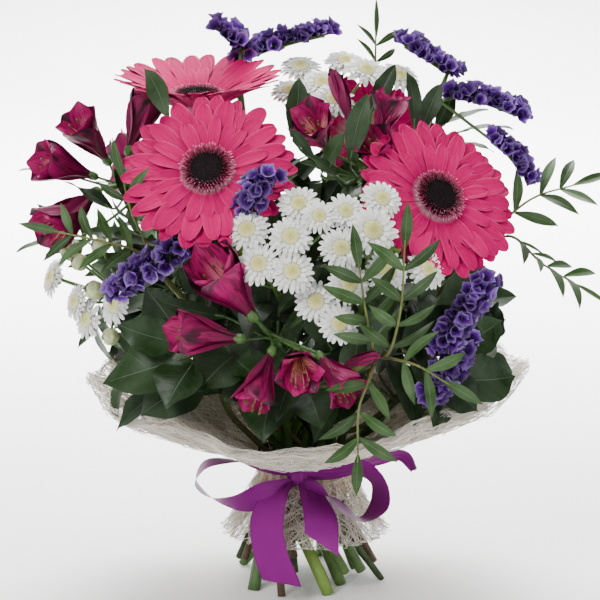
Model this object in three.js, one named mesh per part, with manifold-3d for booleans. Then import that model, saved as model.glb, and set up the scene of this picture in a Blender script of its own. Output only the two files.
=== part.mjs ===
// A hand-tied mixed flower bouquet, in millimetres, +Z up, standing on its cut stem ends.
// The camera side is -Y. The stems spiral through one tying point, so the heads spread into a dome
// above it and the cut ends spread into a ring of feet below it.
import { Box3, BufferAttribute, BufferGeometry, Group, LatheGeometry, Mesh, MeshStandardMaterial, Vector2,
  Vector3 } from 'three';
import { mergeVertices } from 'three/addons/utils/BufferGeometryUtils.js';
import Module from 'manifold-3d';

const wasm = await Module();
wasm.setup();

// Driving dimensions
const TIE_HEIGHT = 82;
const BUNDLE_RADIUS = 25;
const CLEARANCE = 0.3;
const FOOT_SPREAD = 2.2;
const FOOT_INWARD = 0.9;
const HEAD_TWIST = 65;
const STEM_SIDES = 5;
const DOME_CENTRE = new Vector3(-5, 10, 160);
const GERBERA_RADIUS = 55;
const GERBERA_DISC_RADIUS = 17.5;
const STATICE_FLORET_RADIUS = 5;
const SHEET_THICKNESS = 1.5;
const RIBBON_WIDTH = 22;
const RIBBON_THICKNESS = 1;
const TIE_TWINE_RADIUS = 1.5;
const TIE_TURNS = 2;

const vector = (x, y, z) => new Vector3(x, y, z);
const fromList = (list) => new Vector3(list[0], list[1], list[2]);
const radians = (degrees) => degrees * Math.PI / 180;
const UP = vector(0, 0, 1);

// A repeatable number from 0 to 1 for each whole number.
function noise(index) {
  const value = Math.sin(index * 12.9898) * 43758.5453;
  return value - Math.floor(value);
}

// Solids from rings of points

function solid(vertices, triangles) {
  let sixVolumes = 0;
  for (let i = 0; i < triangles.length; i += 3) {
    const [a, b, c] = [0, 1, 2].map((k) => vertices[triangles[i + k]]);
    sixVolumes += a.dot(b.clone().cross(c));
  }
  const order = sixVolumes > 0 ? triangles : triangles.slice().reverse();
  const vertProperties = new Float32Array(vertices.flatMap((p) => [p.x, p.y, p.z]));
  const mesh = new wasm.Mesh({ numProp: 3, vertProperties, triVerts: new Uint32Array(order) });
  return new wasm.Manifold(mesh);
}

// Rings of points joined one after another. A ring may be a single point or have fewer corners than the
// next, and a looped loft closes on its first ring.
function loft(rings, looped = false) {
  const starts = [];
  let total = 0;
  for (const ring of rings) {
    starts.push(total);
    total += ring.length;
  }
  const triangles = [];
  const joins = looped ? rings.length : rings.length - 1;
  for (let i = 0; i < joins; i += 1) {
    const j = (i + 1) % rings.length;
    const count = Math.max(rings[i].length, rings[j].length);
    for (let k = 0; k < count; k += 1) {
      const next = (k + 1) % count;
      const [near, far] = [i, j].map((ring) => [k, next].map((corner) => starts[ring]
        + Math.round(corner * rings[ring].length / count) % rings[ring].length));
      if (near[0] !== near[1]) triangles.push(near[0], near[1], far[1]);
      if (far[0] !== far[1]) triangles.push(near[0], far[1], far[0]);
    }
  }
  if (!looped) {
    const last = rings.length - 1;
    for (let k = 1; k + 1 < rings[0].length; k += 1) {
      triangles.push(starts[0], starts[0] + k + 1, starts[0] + k);
    }
    for (let k = 1; k + 1 < rings[last].length; k += 1) {
      triangles.push(starts[last], starts[last] + k, starts[last] + k + 1);
    }
  }
  return solid(rings.flat(), triangles);
}

function tangents(points) {
  return points.map((_, i) => points[Math.min(i + 1, points.length - 1)].clone()
    .sub(points[Math.max(i - 1, 0)]).normalize());
}

// A round stem along a polyline. Its first end can be trimmed flat, square to a given direction.
function tube(points, radii, sides = STEM_SIDES, footNormal = null) {
  const directions = tangents(points);
  let side = Math.abs(directions[0].z) > 0.9 ? vector(1, 0, 0) : vector(0, 0, 1);
  const rings = points.map((point, i) => {
    const direction = directions[i];
    side = side.clone().addScaledVector(direction, -side.dot(direction)).normalize();
    const across = direction.clone().cross(side);
    const ring = [];
    for (let k = 0; k < sides; k += 1) {
      const angle = 2 * Math.PI * k / sides;
      const corner = point.clone().addScaledVector(side, radii[i] * Math.cos(angle))
        .addScaledVector(across, radii[i] * Math.sin(angle));
      if (footNormal && i === 0) {
        const missing = point.clone().sub(corner).dot(footNormal) / direction.dot(footNormal);
        corner.addScaledVector(direction, missing);
      }
      ring.push(corner);
    }
    return ring;
  });
  return loft(rings);
}

// A thin blade with a pointed base and tip. Each inner station has a left edge, a top, a right edge and a
// bottom, and both faces are split into triangles alike. Cup raises the edges above the middle.
function blade(spine, widths, up, thickness, cup, grow = 0) {
  const directions = tangents(spine);
  const last = spine.length - 1;
  const vertices = [spine[0].clone().addScaledVector(directions[0], -2 * grow)];
  for (let i = 1; i < last; i += 1) {
    const side = directions[i].clone().cross(up).normalize();
    const normal = side.clone().cross(directions[i]).normalize();
    const half = widths[i - 1] / 2 + 1.5 * grow;
    const edge = spine[i].clone().addScaledVector(normal, cup * widths[i - 1] / 2);
    vertices.push(edge.clone().addScaledVector(side, -half));
    vertices.push(spine[i].clone().addScaledVector(normal, thickness / 2 + grow));
    vertices.push(edge.clone().addScaledVector(side, half));
    vertices.push(spine[i].clone().addScaledVector(normal, -thickness / 2 - grow));
  }
  const tip = vertices.length;
  vertices.push(spine[last].clone().addScaledVector(directions[last], 2 * grow));
  const triangles = [];
  for (let k = 0; k < 4; k += 1) {
    const next = (k + 1) % 4;
    triangles.push(0, 1 + next, 1 + k);
    triangles.push(tip, tip - 4 + k, tip - 4 + next);
  }
  for (let i = 0; i + 2 < last; i += 1) {
    const [left, top, right, bottom] = [1, 2, 3, 4].map((k) => 4 * i + k);
    triangles.push(left, top, top + 4, left, top + 4, left + 4);
    triangles.push(right, top + 4, top, right, right + 4, top + 4);
    triangles.push(left, bottom + 4, bottom, left, left + 4, bottom + 4);
    triangles.push(right, bottom, bottom + 4, right, bottom + 4, right + 4);
  }
  return solid(vertices, triangles);
}

// Axes of a bloom: its place, the way it faces, and two directions across it.
function frameAt(at, face) {
  const axis = face.clone().normalize();
  const across = Math.abs(axis.z) > 0.95 ? vector(1, 0,
      0).cross(axis).normalize() : UP.clone().cross(axis).normalize();
  return { at, axis, across, along: axis.clone().cross(across) };
}

function pointIn(frame, radius, angle, height) {
  return frame.at.clone().addScaledVector(frame.across, radius * Math.cos(angle))
    .addScaledVector(frame.along, radius * Math.sin(angle)).addScaledVector(frame.axis, height);
}

// A lobed head. Each row holds the radius and height at a lobe's tip and then in the notch between two. The
// rim is the row where its under side meets its upper side. A row with no notch has one corner for each
// lobe, or four if it is the foot, and a row of no radius is a point.
function lobed(frame, lobes, rows, rim, grow = 0, turn = 0) {
  const ringOf = ([tipRadius, tipHeight, notchRadius, notchHeight], wider, higher) => {
    if (tipRadius === 0) return [pointIn(frame, 0, 0, tipHeight + higher)];
    if (!notchRadius) {
      const corners = higher < 0 || tipHeight < 0 ? 4 : lobes;
      return Array.from({ length: corners }, (_, k) =>
        pointIn(frame, tipRadius + wider, turn + 2 * Math.PI * k / corners, tipHeight + higher));
    }
    const ring = [];
    for (let k = 0; k < lobes; k += 1) {
      const angle = turn + 2 * Math.PI * k / lobes;
      ring.push(pointIn(frame, tipRadius + wider, angle, tipHeight + higher));
      ring.push(pointIn(frame, notchRadius + wider, angle + Math.PI / lobes, notchHeight + higher));
    }
    return ring;
  };
  const under = rows.slice(0, rim + 1).map((row, i) => ringOf(row, grow, i === 0 ? -2 * grow : -grow));
  const upper = rows.slice(rim + 1).map((row) => ringOf(row, 0, 2 * grow));
  const edge = grow > 0 ? [ringOf(rows[rim], grow, grow)] : [];
  return loft([...under, ...edge, ...upper]);
}

// Stems kept clear of each other

// The closest points of two segments, as the fraction along each.
function closestFractions(a, b, c, d) {
  const ab = b.clone().sub(a);
  const cd = d.clone().sub(c);
  const offset = a.clone().sub(c);
  const [abSquare, cdSquare, cross] = [ab.lengthSq(), cd.lengthSq(), ab.dot(cd)];
  const [abOffset, cdOffset] = [ab.dot(offset), cd.dot(offset)];
  const clamp = (value) => Math.min(1, Math.max(0, value));
  const denominator = abSquare * cdSquare - cross * cross;
  let s = denominator > 1e-9 ? clamp((cross * cdOffset - abOffset * cdSquare) / denominator) : 0.5;
  let t = (cross * s + cdOffset) / cdSquare;
  if (t < 0 || t > 1) {
    t = clamp(t);
    s = clamp((t * cross - abOffset) / abSquare);
  }
  return [s, t];
}

const laidSegments = [];

function segmentsOf(points, radius) {
  return points.slice(1).map((point, i) => ({ from: points[i], to: point, radius }));
}

// Moves the inner points of a path until it passes clear of every stem already laid. The first points
// (held) and the last stay where they are.
function clearPath(points, radius, held, ignored = []) {
  const path = points.map((point) => point.clone());
  const rounds = 90;
  for (let round = 0; round < rounds; round += 1) {
    for (let i = 0; i + 1 < path.length; i += 1) {
      for (const other of laidSegments) {
        if (ignored.includes(other)) continue;
        const [s, t] = closestFractions(path[i], path[i + 1], other.from, other.to);
        const own = path[i].clone().lerp(path[i + 1], s);
        const away = own.sub(other.from.clone().lerp(other.to, t));
        const wanted = radius + other.radius + 2.5 * CLEARANCE;
        const distance = away.length();
        if (distance >= wanted || distance < 1e-6) continue;
        away.multiplyScalar((wanted - distance) / distance);
        if (i >= held) path[i].addScaledVector(away, 1 - s);
        if (i + 1 >= held && i + 2 < path.length) path[i + 1].addScaledVector(away, s);
      }
    }
    if (round >= rounds - 30) continue;
    for (let i = held; i + 1 < path.length; i += 1) {
      path[i].lerp(path[i - 1].clone().add(path[i + 1]).multiplyScalar(0.5), 0.06);
    }
  }
  laidSegments.push(...segmentsOf(path, radius));
  return path;
}

// Turns a plan position at the tie into the position of its cut end at the ground.
function footOf(slot) {
  return new Vector2(FOOT_INWARD * slot.x - FOOT_SPREAD * slot.y, FOOT_INWARD * slot.y + FOOT_SPREAD * slot.x);
}

function slotOf(foot) {
  const scale = FOOT_INWARD * FOOT_INWARD + FOOT_SPREAD * FOOT_SPREAD;
  return new Vector2((FOOT_INWARD * foot[0] + FOOT_SPREAD * foot[1]) / scale,
    (FOOT_INWARD * foot[1] - FOOT_SPREAD * foot[0]) / scale);
}

// Where each stem ends, its radius, and its cut end where the front view shows it: top is where the stem
// meets its bloom or first fork, face the way it points there, cut the height of its cut end.
const stems = {
  gerbera_left: { top: [-60, -118, 292], face: [-0.1, -0.78, 0.62], radius: 3.6, back: 9.8, foot: [-54, 2],
      cut: 16 },
  gerbera_right: { top: [82, -100, 273], face: [0.4, -0.74, 0.54], radius: 3.6, back: 9.8, foot: [17, -60],
      cut: 0 },
  gerbera_top: { top: [-70, -25, 327], face: [-0.12, -0.25, 0.96], radius: 3.6, back: 9.8, foot: [-3, -38],
      cut: 5 },
  gerbera_back: { top: [45, 92, 292], face: [0.3, 0.72, 0.62], radius: 3.6, back: 9.8, foot: [-30, 46],
      cut: 0 },
  chrysanthemum_front_left: { top: [-14, -100, 206], face: [-0.1, -0.8, 0.6], radius: 2.6, foot: [32, -38],
      cut: 12 },
  chrysanthemum_front_right: { top: [36, -98, 200], face: [0.2, -0.8, 0.56], radius: 3.3, foot: [49, -45],
      cut: 0 },
  chrysanthemum_top: { top: [18, 2, 292], face: [0.1, 0, 1], radius: 2.8, cut: 22 },
  chrysanthemum_left: { top: [-104, -58, 196], face: [-0.85, -0.35, 0.4], radius: 2.6, cut: 8 },
  chrysanthemum_back: { top: [-18, 92, 232], face: [-0.1, 0.8, 0.6], radius: 2.8, foot: [6, 60], cut: 0 },
  alstroemeria_front: { top: [-19, -112, 186], face: [-0.1, -0.95, 0.2], radius: 3, cut: 14 },
  alstroemeria_centre: { top: [34, -58, 284], face: [0.1, -0.3, 0.95], radius: 3, cut: 26 },
  alstroemeria_left: { top: [-118, -24, 272], face: [-0.7, -0.1, 0.7], radius: 3, cut: 10 },
  alstroemeria_back: { top: [-84, 66, 244], face: [-0.6, 0.5, 0.6], radius: 3, foot: [-58, 22], cut: 0 },
  statice_top_left: { top: [-44, 14, 336], face: [0.1, 0.1, 1], radius: 2.4, cut: 30 },
  statice_top_right: { top: [84, 4, 318], face: [0.4, 0.05, 0.9], radius: 2.4, cut: 18 },
  statice_left: { top: [-58, -112, 236], face: [-0.4, -0.7, 0.5], radius: 3.2, foot: [-56, -40], cut: 0 },
  statice_right: { top: [92, -78, 168], face: [0.6, -0.6, 0.5], radius: 2.6, cut: 20 },
  statice_back: { top: [92, 62, 238], face: [0.7, 0.5, 0.5], radius: 2.4, foot: [42, 42], cut: 0 },
  pistacia_front: { top: [44, -132, 180], face: [0.1, -0.9, 0.3], radius: 2.2, foot: [-11, -60], cut: 0 },
  pistacia_right: { top: [118, -24, 232], face: [0.9, -0.1, 0.4], radius: 2.2, cut: 34 },
  pistacia_left: { top: [-98, -92, 232], face: [-0.7, -0.4, 0.4], radius: 2.2, cut: 10 },
  pistacia_top: { top: [47, 24, 330], face: [0, -0.1, 1], radius: 2, cut: 36 },
  pistacia_back: { top: [20, 122, 206], face: [0.1, 0.9, 0.4], radius: 2.2, cut: 16 },
  pistacia_back_left: { top: [-114, 84, 196], face: [-0.7, 0.5, 0.4], radius: 2.2, cut: 24 },
  salal_left: { top: [-66, -102, 170], face: [-0.8, -0.6, 0.2], radius: 2, foot: [-64, -8], cut: 14 },
  salal_front: { top: [-8, -104, 152], face: [0, -1, 0.1], radius: 2, cut: 18 },
  salal_right: { top: [88, -66, 152], face: [0.8, -0.5, 0.2], radius: 2, foot: [66, -20], cut: 0 },
  salal_back_left: { top: [-76, 82, 168], face: [-0.6, 0.7, 0.2], radius: 2, cut: 12 },
  salal_back_right: { top: [82, 80, 168], face: [0.6, 0.7, 0.2], radius: 2, cut: 22 },
};

// Plan places of the stems at the tie: each starts on the side that its spiral asks for, and they are then
// pushed apart inside the tie.
function placeAtTie() {
  const places = Object.entries(stems).map(([name, stem]) => {
    const reach = Math.hypot(stem.top[0], stem.top[1]);
    const azimuth = Math.atan2(stem.top[1], stem.top[0]) + radians(HEAD_TWIST);
    const spread = Math.min(23, 4 + reach * 0.15);
    const wanted = stem.foot ? slotOf(stem.foot)
      : new Vector2(spread * Math.cos(azimuth), spread * Math.sin(azimuth));
    return { name, wanted, place: wanted.clone(), radius: 1.22 * stem.radius + CLEARANCE };
  });
  const rounds = 400;
  for (let round = 0; round < rounds; round += 1) {
    for (const [i, one] of places.entries()) {
      for (const other of places.slice(i + 1)) {
        const away = one.place.clone().sub(other.place);
        const missing = one.radius + other.radius - away.length();
        if (missing <= 0) continue;
        away.normalize().multiplyScalar(missing / 2);
        one.place.add(away);
        other.place.sub(away);
      }
      if (round < rounds / 2) one.place.lerp(one.wanted, 0.03);
      const limit = BUNDLE_RADIUS - one.radius;
      if (one.place.length() > limit) one.place.setLength(limit);
    }
  }
  return Object.fromEntries(places.map(({ name, place }) => [name, place]));
}

// The line of each stem: straight from its cut end through the tie, then in one sweep to its top.
function layStems() {
  const slots = placeAtTie();
  const lines = {};
  for (const [name, stem] of Object.entries(stems)) {
    const slot = slots[name];
    const ground = footOf(slot);
    const atTie = vector(slot.x, slot.y, TIE_HEIGHT);
    const foot = vector(ground.x, ground.y, 0).lerp(atTie, stem.cut / TIE_HEIGHT);
    const face = fromList(stem.face).normalize();
    const top = fromList(stem.top).addScaledVector(face, -(stem.back ?? 0));
    const rise = atTie.clone().sub(vector(ground.x, ground.y, 0)).normalize();
    const reach = top.distanceTo(atTie);
    const steps = reach > 200 ? 5 : 4;
    const points = [foot, atTie];
    for (let i = 1; i <= steps; i += 1) {
      const t = i / steps;
      const [startPull, endPull] = [0.75 * reach * t * (1 - t) * (1 - t), 0.7 * reach * t * t * (t - 1)];
      const blend = t * t * (3 - 2 * t);
      points.push(atTie.clone().lerp(top, blend).addScaledVector(rise, startPull).addScaledVector(face,
          endPull));
    }
    lines[name] = { points, radius: stem.radius, face };
  }
  for (const line of Object.values(lines)) line.points = clearPath(line.points, line.radius, 2);
  return lines;
}

const lines = layStems();

// Joining and cutting

// Space that later pieces keep out of, each with the name of the piece that it belongs to.
let keepOuts = [];

function boxesTouch(one, other) {
  const [a, b] = [one.boundingBox(), other.boundingBox()];
  return [0, 1, 2].every((k) => a.min[k] <= b.max[k] && b.min[k] <= a.max[k]);
}

// One closed body: what the cuts left loose is dropped, and a sealed hollow is filled.
function oneBody(body) {
  return body.decompose().reduce((best, next) => (next.volume() > best.volume() ? next : best));
}

function geometryOf(body) {
  const mesh = body.getMesh();
  const geometry = new BufferGeometry();
  geometry.setAttribute('position', new BufferAttribute(mesh.vertProperties.slice(), mesh.numProp));
  geometry.setIndex(new BufferAttribute(mesh.triVerts.slice(), 1));
  return geometry;
}

// Closes up points that are nearly one, and drops what hung on by less than that.
function settle(body) {
  const merged = mergeVertices(geometryOf(body), 1e-3);
  const mesh = new wasm.Mesh({ numProp: 3, vertProperties: merged.getAttribute('position').array,
    triVerts: new Uint32Array(merged.index.array) });
  return oneBody(new wasm.Manifold(mesh));
}

function reserve(name, bodies) {
  keepOuts.push(...bodies.map((body) => ({ name, body })));
}

// Joins the parts of a piece, cuts them clear of the pieces before it, and keeps them clear of later ones.
function joinPiece(name, makeParts) {
  const simplifyTo = 0.15;
  let body = wasm.Manifold.union(makeParts(0));
  keepOuts = keepOuts.filter((keepOut) => keepOut.name !== name);
  for (const keepOut of keepOuts) {
    if (boxesTouch(body, keepOut.body)) body = body.subtract(keepOut.body);
  }
  reserve(name, makeParts(CLEARANCE));
  return settle(oneBody(body).simplify(simplifyTo));
}

const finishes = {
  gerbera_petals: { color: 0xe0147a, roughness: 0.55 },
  gerbera_disc: { color: 0x2a0712, roughness: 0.8 },
  gerbera_stem: { color: 0x6f8f2c, roughness: 0.6 },
  white_heads: { color: 0xf4f3ea, roughness: 0.6 },
  green_stem: { color: 0x2f5a24, roughness: 0.6 },
  alstroemeria: { color: 0xb0104e, roughness: 0.5 },
  statice: { color: 0x4a2d9c, roughness: 0.8 },
  pistacia: { color: 0x3c6a30, roughness: 0.55 },
  salal: { color: 0x1d4a22, roughness: 0.35 },
  twine: { color: 0x8a6a3c, roughness: 0.9 },
  sisal: { color: 0xe8dcc4, roughness: 0.95 },
  ribbon: { color: 0x8a2d9a, roughness: 0.3 },
};

const bouquet = new Group();

function addPiece(name, finish, makeParts) {
  const material = new MeshStandardMaterial({ metalness: 0, ...finishes[finish] });
  const mesh = new Mesh(geometryOf(joinPiece(name, makeParts)), material);
  mesh.name = name;
  bouquet.add(mesh);
}

// Plain stems and their tops

function stemTube(name, grow, sides = STEM_SIDES) {
  const { points, radius, face } = lines[name];
  const line = [...points.slice(0, -1), points[points.length - 1].clone().addScaledVector(face, grow)];
  return tube(line, line.map(() => radius + grow), sides, UP);
}

// A gerbera's stem widens into the green cup of bracts under its petals.
function gerberaStem(name, grow) {
  const { points, radius, face } = lines[name];
  const [cupDepth, cupRadius] = [8, 10.5];
  const end = points[points.length - 1];
  const line = [...points.slice(0, -1), end.clone().addScaledVector(face, -cupDepth),
    end.clone().addScaledVector(face, grow)];
  return [tube(line, line.map((_, i) => (i + 1 < line.length ? radius : cupRadius) + grow), STEM_SIDES, UP)];
}

// Gerbera petals in three rings, each a little higher and shorter than the last. All round a ring the
// outline runs from a notch over one shoulder, the tip and the other shoulder of each petal.
const PETALS_IN_RING = 11;
const petalRings = [
  { length: GERBERA_RADIUS, width: 15, height: -6.6 },
  { length: GERBERA_RADIUS - 5, width: 14, height: -3.8 },
  { length: GERBERA_RADIUS - 20, width: 8, height: -1.4 },
];
const petalRoot = { radius: 11, notch: 14, heights: [-8.6, -5.4, -2.8, -1] };

function gerberaPetals(bloom, grow) {
  const frame = frameAt(fromList(bloom.at), fromList(bloom.face));
  const corners = 4 * PETALS_IN_RING;
  const slope = Math.tan(radians(bloom.cup));
  const rootRing = (level, lift) => Array.from({ length: corners }, (_, k) =>
    pointIn(frame, petalRoot.radius, 2 * Math.PI * k / corners, petalRoot.heights[level] + lift));
  const outline = (row, lift) => Array.from({ length: corners }, (_, k) => {
    const ring = petalRings[row];
    const role = (k + 2 * row) % 4;
    const petal = Math.floor((k + 2 * row) / 4) % PETALS_IN_RING;
    const draw = noise(bloom.seed + 50 * row + petal);
    const length = ring.length * (0.94 + 0.09 * draw);
    const reach = role === 0 ? petalRoot.notch : (role === 2 ? length : 0.84 * length) + 1.5 * grow;
    const shoulder = (ring.width / 2 + grow) / reach;
    const middle = 2 * Math.PI * (role === 1 ? k + 1 : k - 1) / corners;
    const atShoulder = middle + (role === 1 ? -shoulder : shoulder);
    const angle = role % 2 === 0 ? 2 * Math.PI * k / corners : atShoulder;
    const share = reach / ring.length;
    const height = ring.height + slope * (reach - petalRoot.radius) - bloom.droop * share ** 3
      + 1.2 * (draw - 0.5);
    return pointIn(frame, reach, angle, height + lift);
  });
  const rings = [[pointIn(frame, 0, 0, petalRoot.heights[0] - 0.6 - 2 * grow)], rootRing(0, -grow)];
  for (const row of petalRings.keys()) {
    if (grow > 0) rings.push(outline(row, -grow));
    rings.push(outline(row, grow), rootRing(row + 1, row === petalRings.length - 1 ? grow : 0));
  }
  rings.push([pointIn(frame, 0, 0, petalRoot.heights[petalRings.length] + grow)]);
  return [loft(rings)];
}

function gerberaDisc(bloom, grow) {
  const frame = frameAt(fromList(bloom.at), fromList(bloom.face));
  const slope = Math.tan(radians(bloom.cup + 2));
  const outer = GERBERA_DISC_RADIUS;
  const rim = -0.2 + slope * outer;
  return [lobed(frame, 7, [[0, -0.7, 0, 0], [outer, rim + 1.4, outer - 2, rim + 0.8],
    [outer - 2, rim + 4, outer - 3.6, rim + 2.6], [0.66 * outer, rim + 0.4, 0.62 * outer, rim + 0.2],
    [0, rim + 2, 0, 0]], 1, grow)];
}

const gerberas = {
  gerbera_left: { cup: 10, droop: 2, seed: 100 },
  gerbera_right: { cup: 12, droop: 3, seed: 300 },
  gerbera_top: { cup: 15, droop: 2, seed: 500 },
  gerbera_back: { cup: 14, droop: 2, seed: 700 },
};
for (const [name, bloom] of Object.entries(gerberas)) {
  bloom.at = stems[name].top;
  bloom.face = stems[name].face;
}

// Spray chrysanthemums: heads as place and size, each on a side branch from the fork of its stem.
const heads = {
  chrysanthemum_front_left: [[-35, -146, 259, 14], [-28, -156, 240, 13.5], [-9, -153, 256, 13.5],
      [-8, -160, 236, 13.5],
    [-4, -140, 274, 13], [8, -150, 268, 11], [24, -143, 270, 12]],
  chrysanthemum_front_right: [[21, -159, 250, 13.5], [40, -149, 259, 16], [46, -132, 276, 13],
      [26, -156, 228, 13],
    [49, -149, 234, 13.5], [6, -154, 217, 13], [20, -159, 204, 12.5], [74, -131, 233, 13.5]],
  chrysanthemum_top: [[-3, 18, 344, 14], [11, -12, 336, 14], [-10, -2, 330, 13], [27, 22, 347, 14.5],
    [40, 0, 343, 15], [18, -40, 328, 14], [62, 4, 339, 14.5]],
  chrysanthemum_left: [[-161, -60, 216, 13.5], [-152, -50, 233, 8], [-145, -64, 227, 6], [-130, -87, 241, 6],
    [-145, -77, 203, 12], [-134, -87, 213, 6.5], [-137, -84, 193, 13], [-119, -94, 204, 13],
    [-124, -88, 183, 6]],
  chrysanthemum_back: [[-46, 142, 248, 15], [-18, 150, 262, 15], [-28, 156, 232, 16], [4, 154, 242, 14],
    [-54, 138, 220, 14], [-8, 152, 210, 14]],
};

// A head's outer petals lie flatter, its inner ones stand in a crown round the yellow eye.
function chrysanthemumHead(frame, radius, grow) {
  if (radius < 9) {
    return lobed(frame, 3, [[0, -radius, 0, 0], [radius, -0.2 * radius, 0.9 * radius, -0.2 * radius],
      [0.6 * radius, 0.7 * radius, 0.5 * radius, 0.6 * radius], [0, 0.8 * radius, 0, 0]], 1, grow);
  }
  return lobed(frame, 6, [[0.22 * radius, -0.36 * radius, 0, 0],
      [radius, 0.02 * radius, 0.7 * radius, -0.08 * radius],
    [0.5 * radius, 0.34 * radius, 0, 0], [0, 0.24 * radius, 0, 0]], 1, grow);
}

const branchRoutes = {};

// Side branches run from the fork to behind each bloom, clear of every stem laid before them. The later ones
// leave the first, thickest one along its length.
const BRANCH_RADIUS = 1.25;
const MAIN_BRANCH_RADII = [2.8, 2.2, BRANCH_RADIUS];

function layBranches(name, ends) {
  const { points, face: stemFace } = lines[name];
  const hub = points[points.length - 1].clone().addScaledVector(stemFace, 1.2 * CLEARANCE);
  const own = laidSegments.filter((segment) => segment.to === points[points.length - 1]);
  const before = laidSegments.length;
  const routes = [];
  for (const [i, { at, face }] of ends.entries()) {
    const root = i > 0 ? routes[0][0].clone().lerp(routes[0][1], 0.1 + 0.7 * i / ends.length) : hub;
    const middle = root.clone().lerp(at, 0.55).addScaledVector(face, -0.16 * at.distanceTo(root));
    routes.push(clearPath([root, middle, at], BRANCH_RADIUS, 1, own.concat(laidSegments.slice(before))));
  }
  branchRoutes[name] = routes;
}

function branchTubes(name, grow) {
  return branchRoutes[name].map((points, i) => tube(points, points.map((_, k) =>
    (i > 0 ? BRANCH_RADIUS : MAIN_BRANCH_RADII[k]) + 1.6 * grow), i > 0 ? 3 : 4,
        i > 0 ? null : lines[name].face));
}

const headFrames = {};
const frontLean = { chrysanthemum_top: 0.55 };
for (const [name, list] of Object.entries(heads)) {
  headFrames[name] = list.map(([x, y, z, radius]) => {
    const at = vector(x, y, z);
    const outward = at.clone().sub(DOME_CENTRE).normalize().addScaledVector(UP.clone().cross(vector(1, 0, 0)),
        -(frontLean[name] ?? 0));
    return { frame: frameAt(at, outward), radius };
  });
  // A head that grows into an earlier one is held by it and needs no branch of its own.
  const held = headFrames[name].filter(({ frame, radius }, i) => !headFrames[name].slice(0, i).some((other) =>
    other.frame.at.distanceTo(frame.at) < 0.66 * (other.radius + radius)));
  layBranches(name, held.map(({ frame, radius }) => ({ at: frame.at.clone()
    .addScaledVector(frame.axis, -0.2 * radius), face: frame.axis })));
}

// Alstroemerias: each bloom as the place of its base and of its tip, and how far it is open.
const blooms = {
  alstroemeria_front: [[[-31, -134, 203], [-60, -165, 246], 0.7], [[-38, -134, 190], [-84, -150, 199], 0.75],
    [[-20, -137, 185], [-34, -160, 152], 0.75], [[-5, -134, 184], [-3, -173, 174], 1],
    [[8, -137, 182], [28, -162, 160], 0.9], [[20, -140, 174], [46, -150, 184], 0.35]],
  alstroemeria_centre: [[[30, -58, 312], [17, -46, 350], 0.35], [[14, -74, 300], [2, -102, 326], 1],
    [[46, -56, 300], [55, -60, 337], 0.9], [[52, -72, 284], [40, -98, 312], 0.9]],
  alstroemeria_left: [[[-134, -38, 270], [-162, -66, 250], 0.8], [[-136, -32, 278], [-166, -50, 290], 0.8],
    [[-128, -24, 286], [-146, -42, 314], 0.8], [[-116, -20, 292], [-103, -22, 328], 0.6]],
  alstroemeria_back: [[[-104, 84, 250], [-132, 112, 262], 0.9], [[-90, 88, 262], [-104, 116, 288], 0.9],
    [[-104, 70, 266], [-136, 76, 290], 0.8], [[-84, 78, 272], [-86, 84, 306], 0.4]],
};

function alstroemeriaBloom(base, tip, open, grow) {
  const face = tip.clone().sub(base);
  const length = face.length();
  const frame = frameAt(base, face);
  if (open < 0.5) {
    return lobed(frame, 3, [[0, -2, 0, 0], [0.1 * length, 0.35 * length, 0.09 * length, 0.3 * length],
      [0.15 * length, 0.66 * length, 0.12 * length, 0.6 * length], [0, length, 0, 0]], 2, grow);
  }
  const rim = length * (0.08 + 0.36 * open);
  const notch = length * (0.08 + 0.16 * open);
  return lobed(frame, 6, [[0.05 * length, -1, 0, 0],
      [0.09 * length, 0.32 * length, 0.08 * length, 0.3 * length],
    [rim, 0.97 * length, notch, 0.66 * length], [0, 0.4 * length, 0, 0]], 2, grow);
}

const bloomParts = {};
for (const [name, list] of Object.entries(blooms)) {
  bloomParts[name] = list.map(([base, tip, open]) => ({ base: fromList(base), tip: fromList(tip), open }));
  layBranches(name, bloomParts[name].map(({ base, tip }) => ({ at: base.clone(),
    face: tip.clone().sub(base).normalize() })));
}

// Statice: each cluster as a line from its start to its end, with its florets standing along the line.
const clusters = {
  statice_top_left: [[[-42, 10, 357], [-56, 10, 369]], [[-41, 22, 351], [-12, 26, 360], [13, 28, 366]]],
  statice_top_right: [[[94, 1, 343], [80, 4, 352], [66, 8, 360]], [[98, 0, 327], [119, 0, 323], [140, 0, 315]],
    [[122, -18, 300], [135, -20, 289], [143, -22, 277]]],
  statice_left: [[[-37, -134, 270], [-30, -138, 280], [-23, -141, 290]],
    [[-70, -132, 250], [-92, -127, 236], [-115, -119, 219]]],
  statice_right: [[[85, -101, 182], [97, -106, 202], [110, -109, 221]], [[102, -90, 182], [91, -96, 166],
      [78, -100, 150]]],
  statice_back: [[[112, 82, 252], [122, 92, 232]], [[96, 78, 276], [84, 96, 292]], [[104, 96, 216],
      [92, 110, 200]]],
};

for (const [name, list] of Object.entries(clusters)) {
  const ends = list.map((points) => {
    const at = fromList(points[0]);
    return { at, face: fromList(points[1]).sub(at).normalize() };
  });
  layBranches(name, ends);
}

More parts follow.
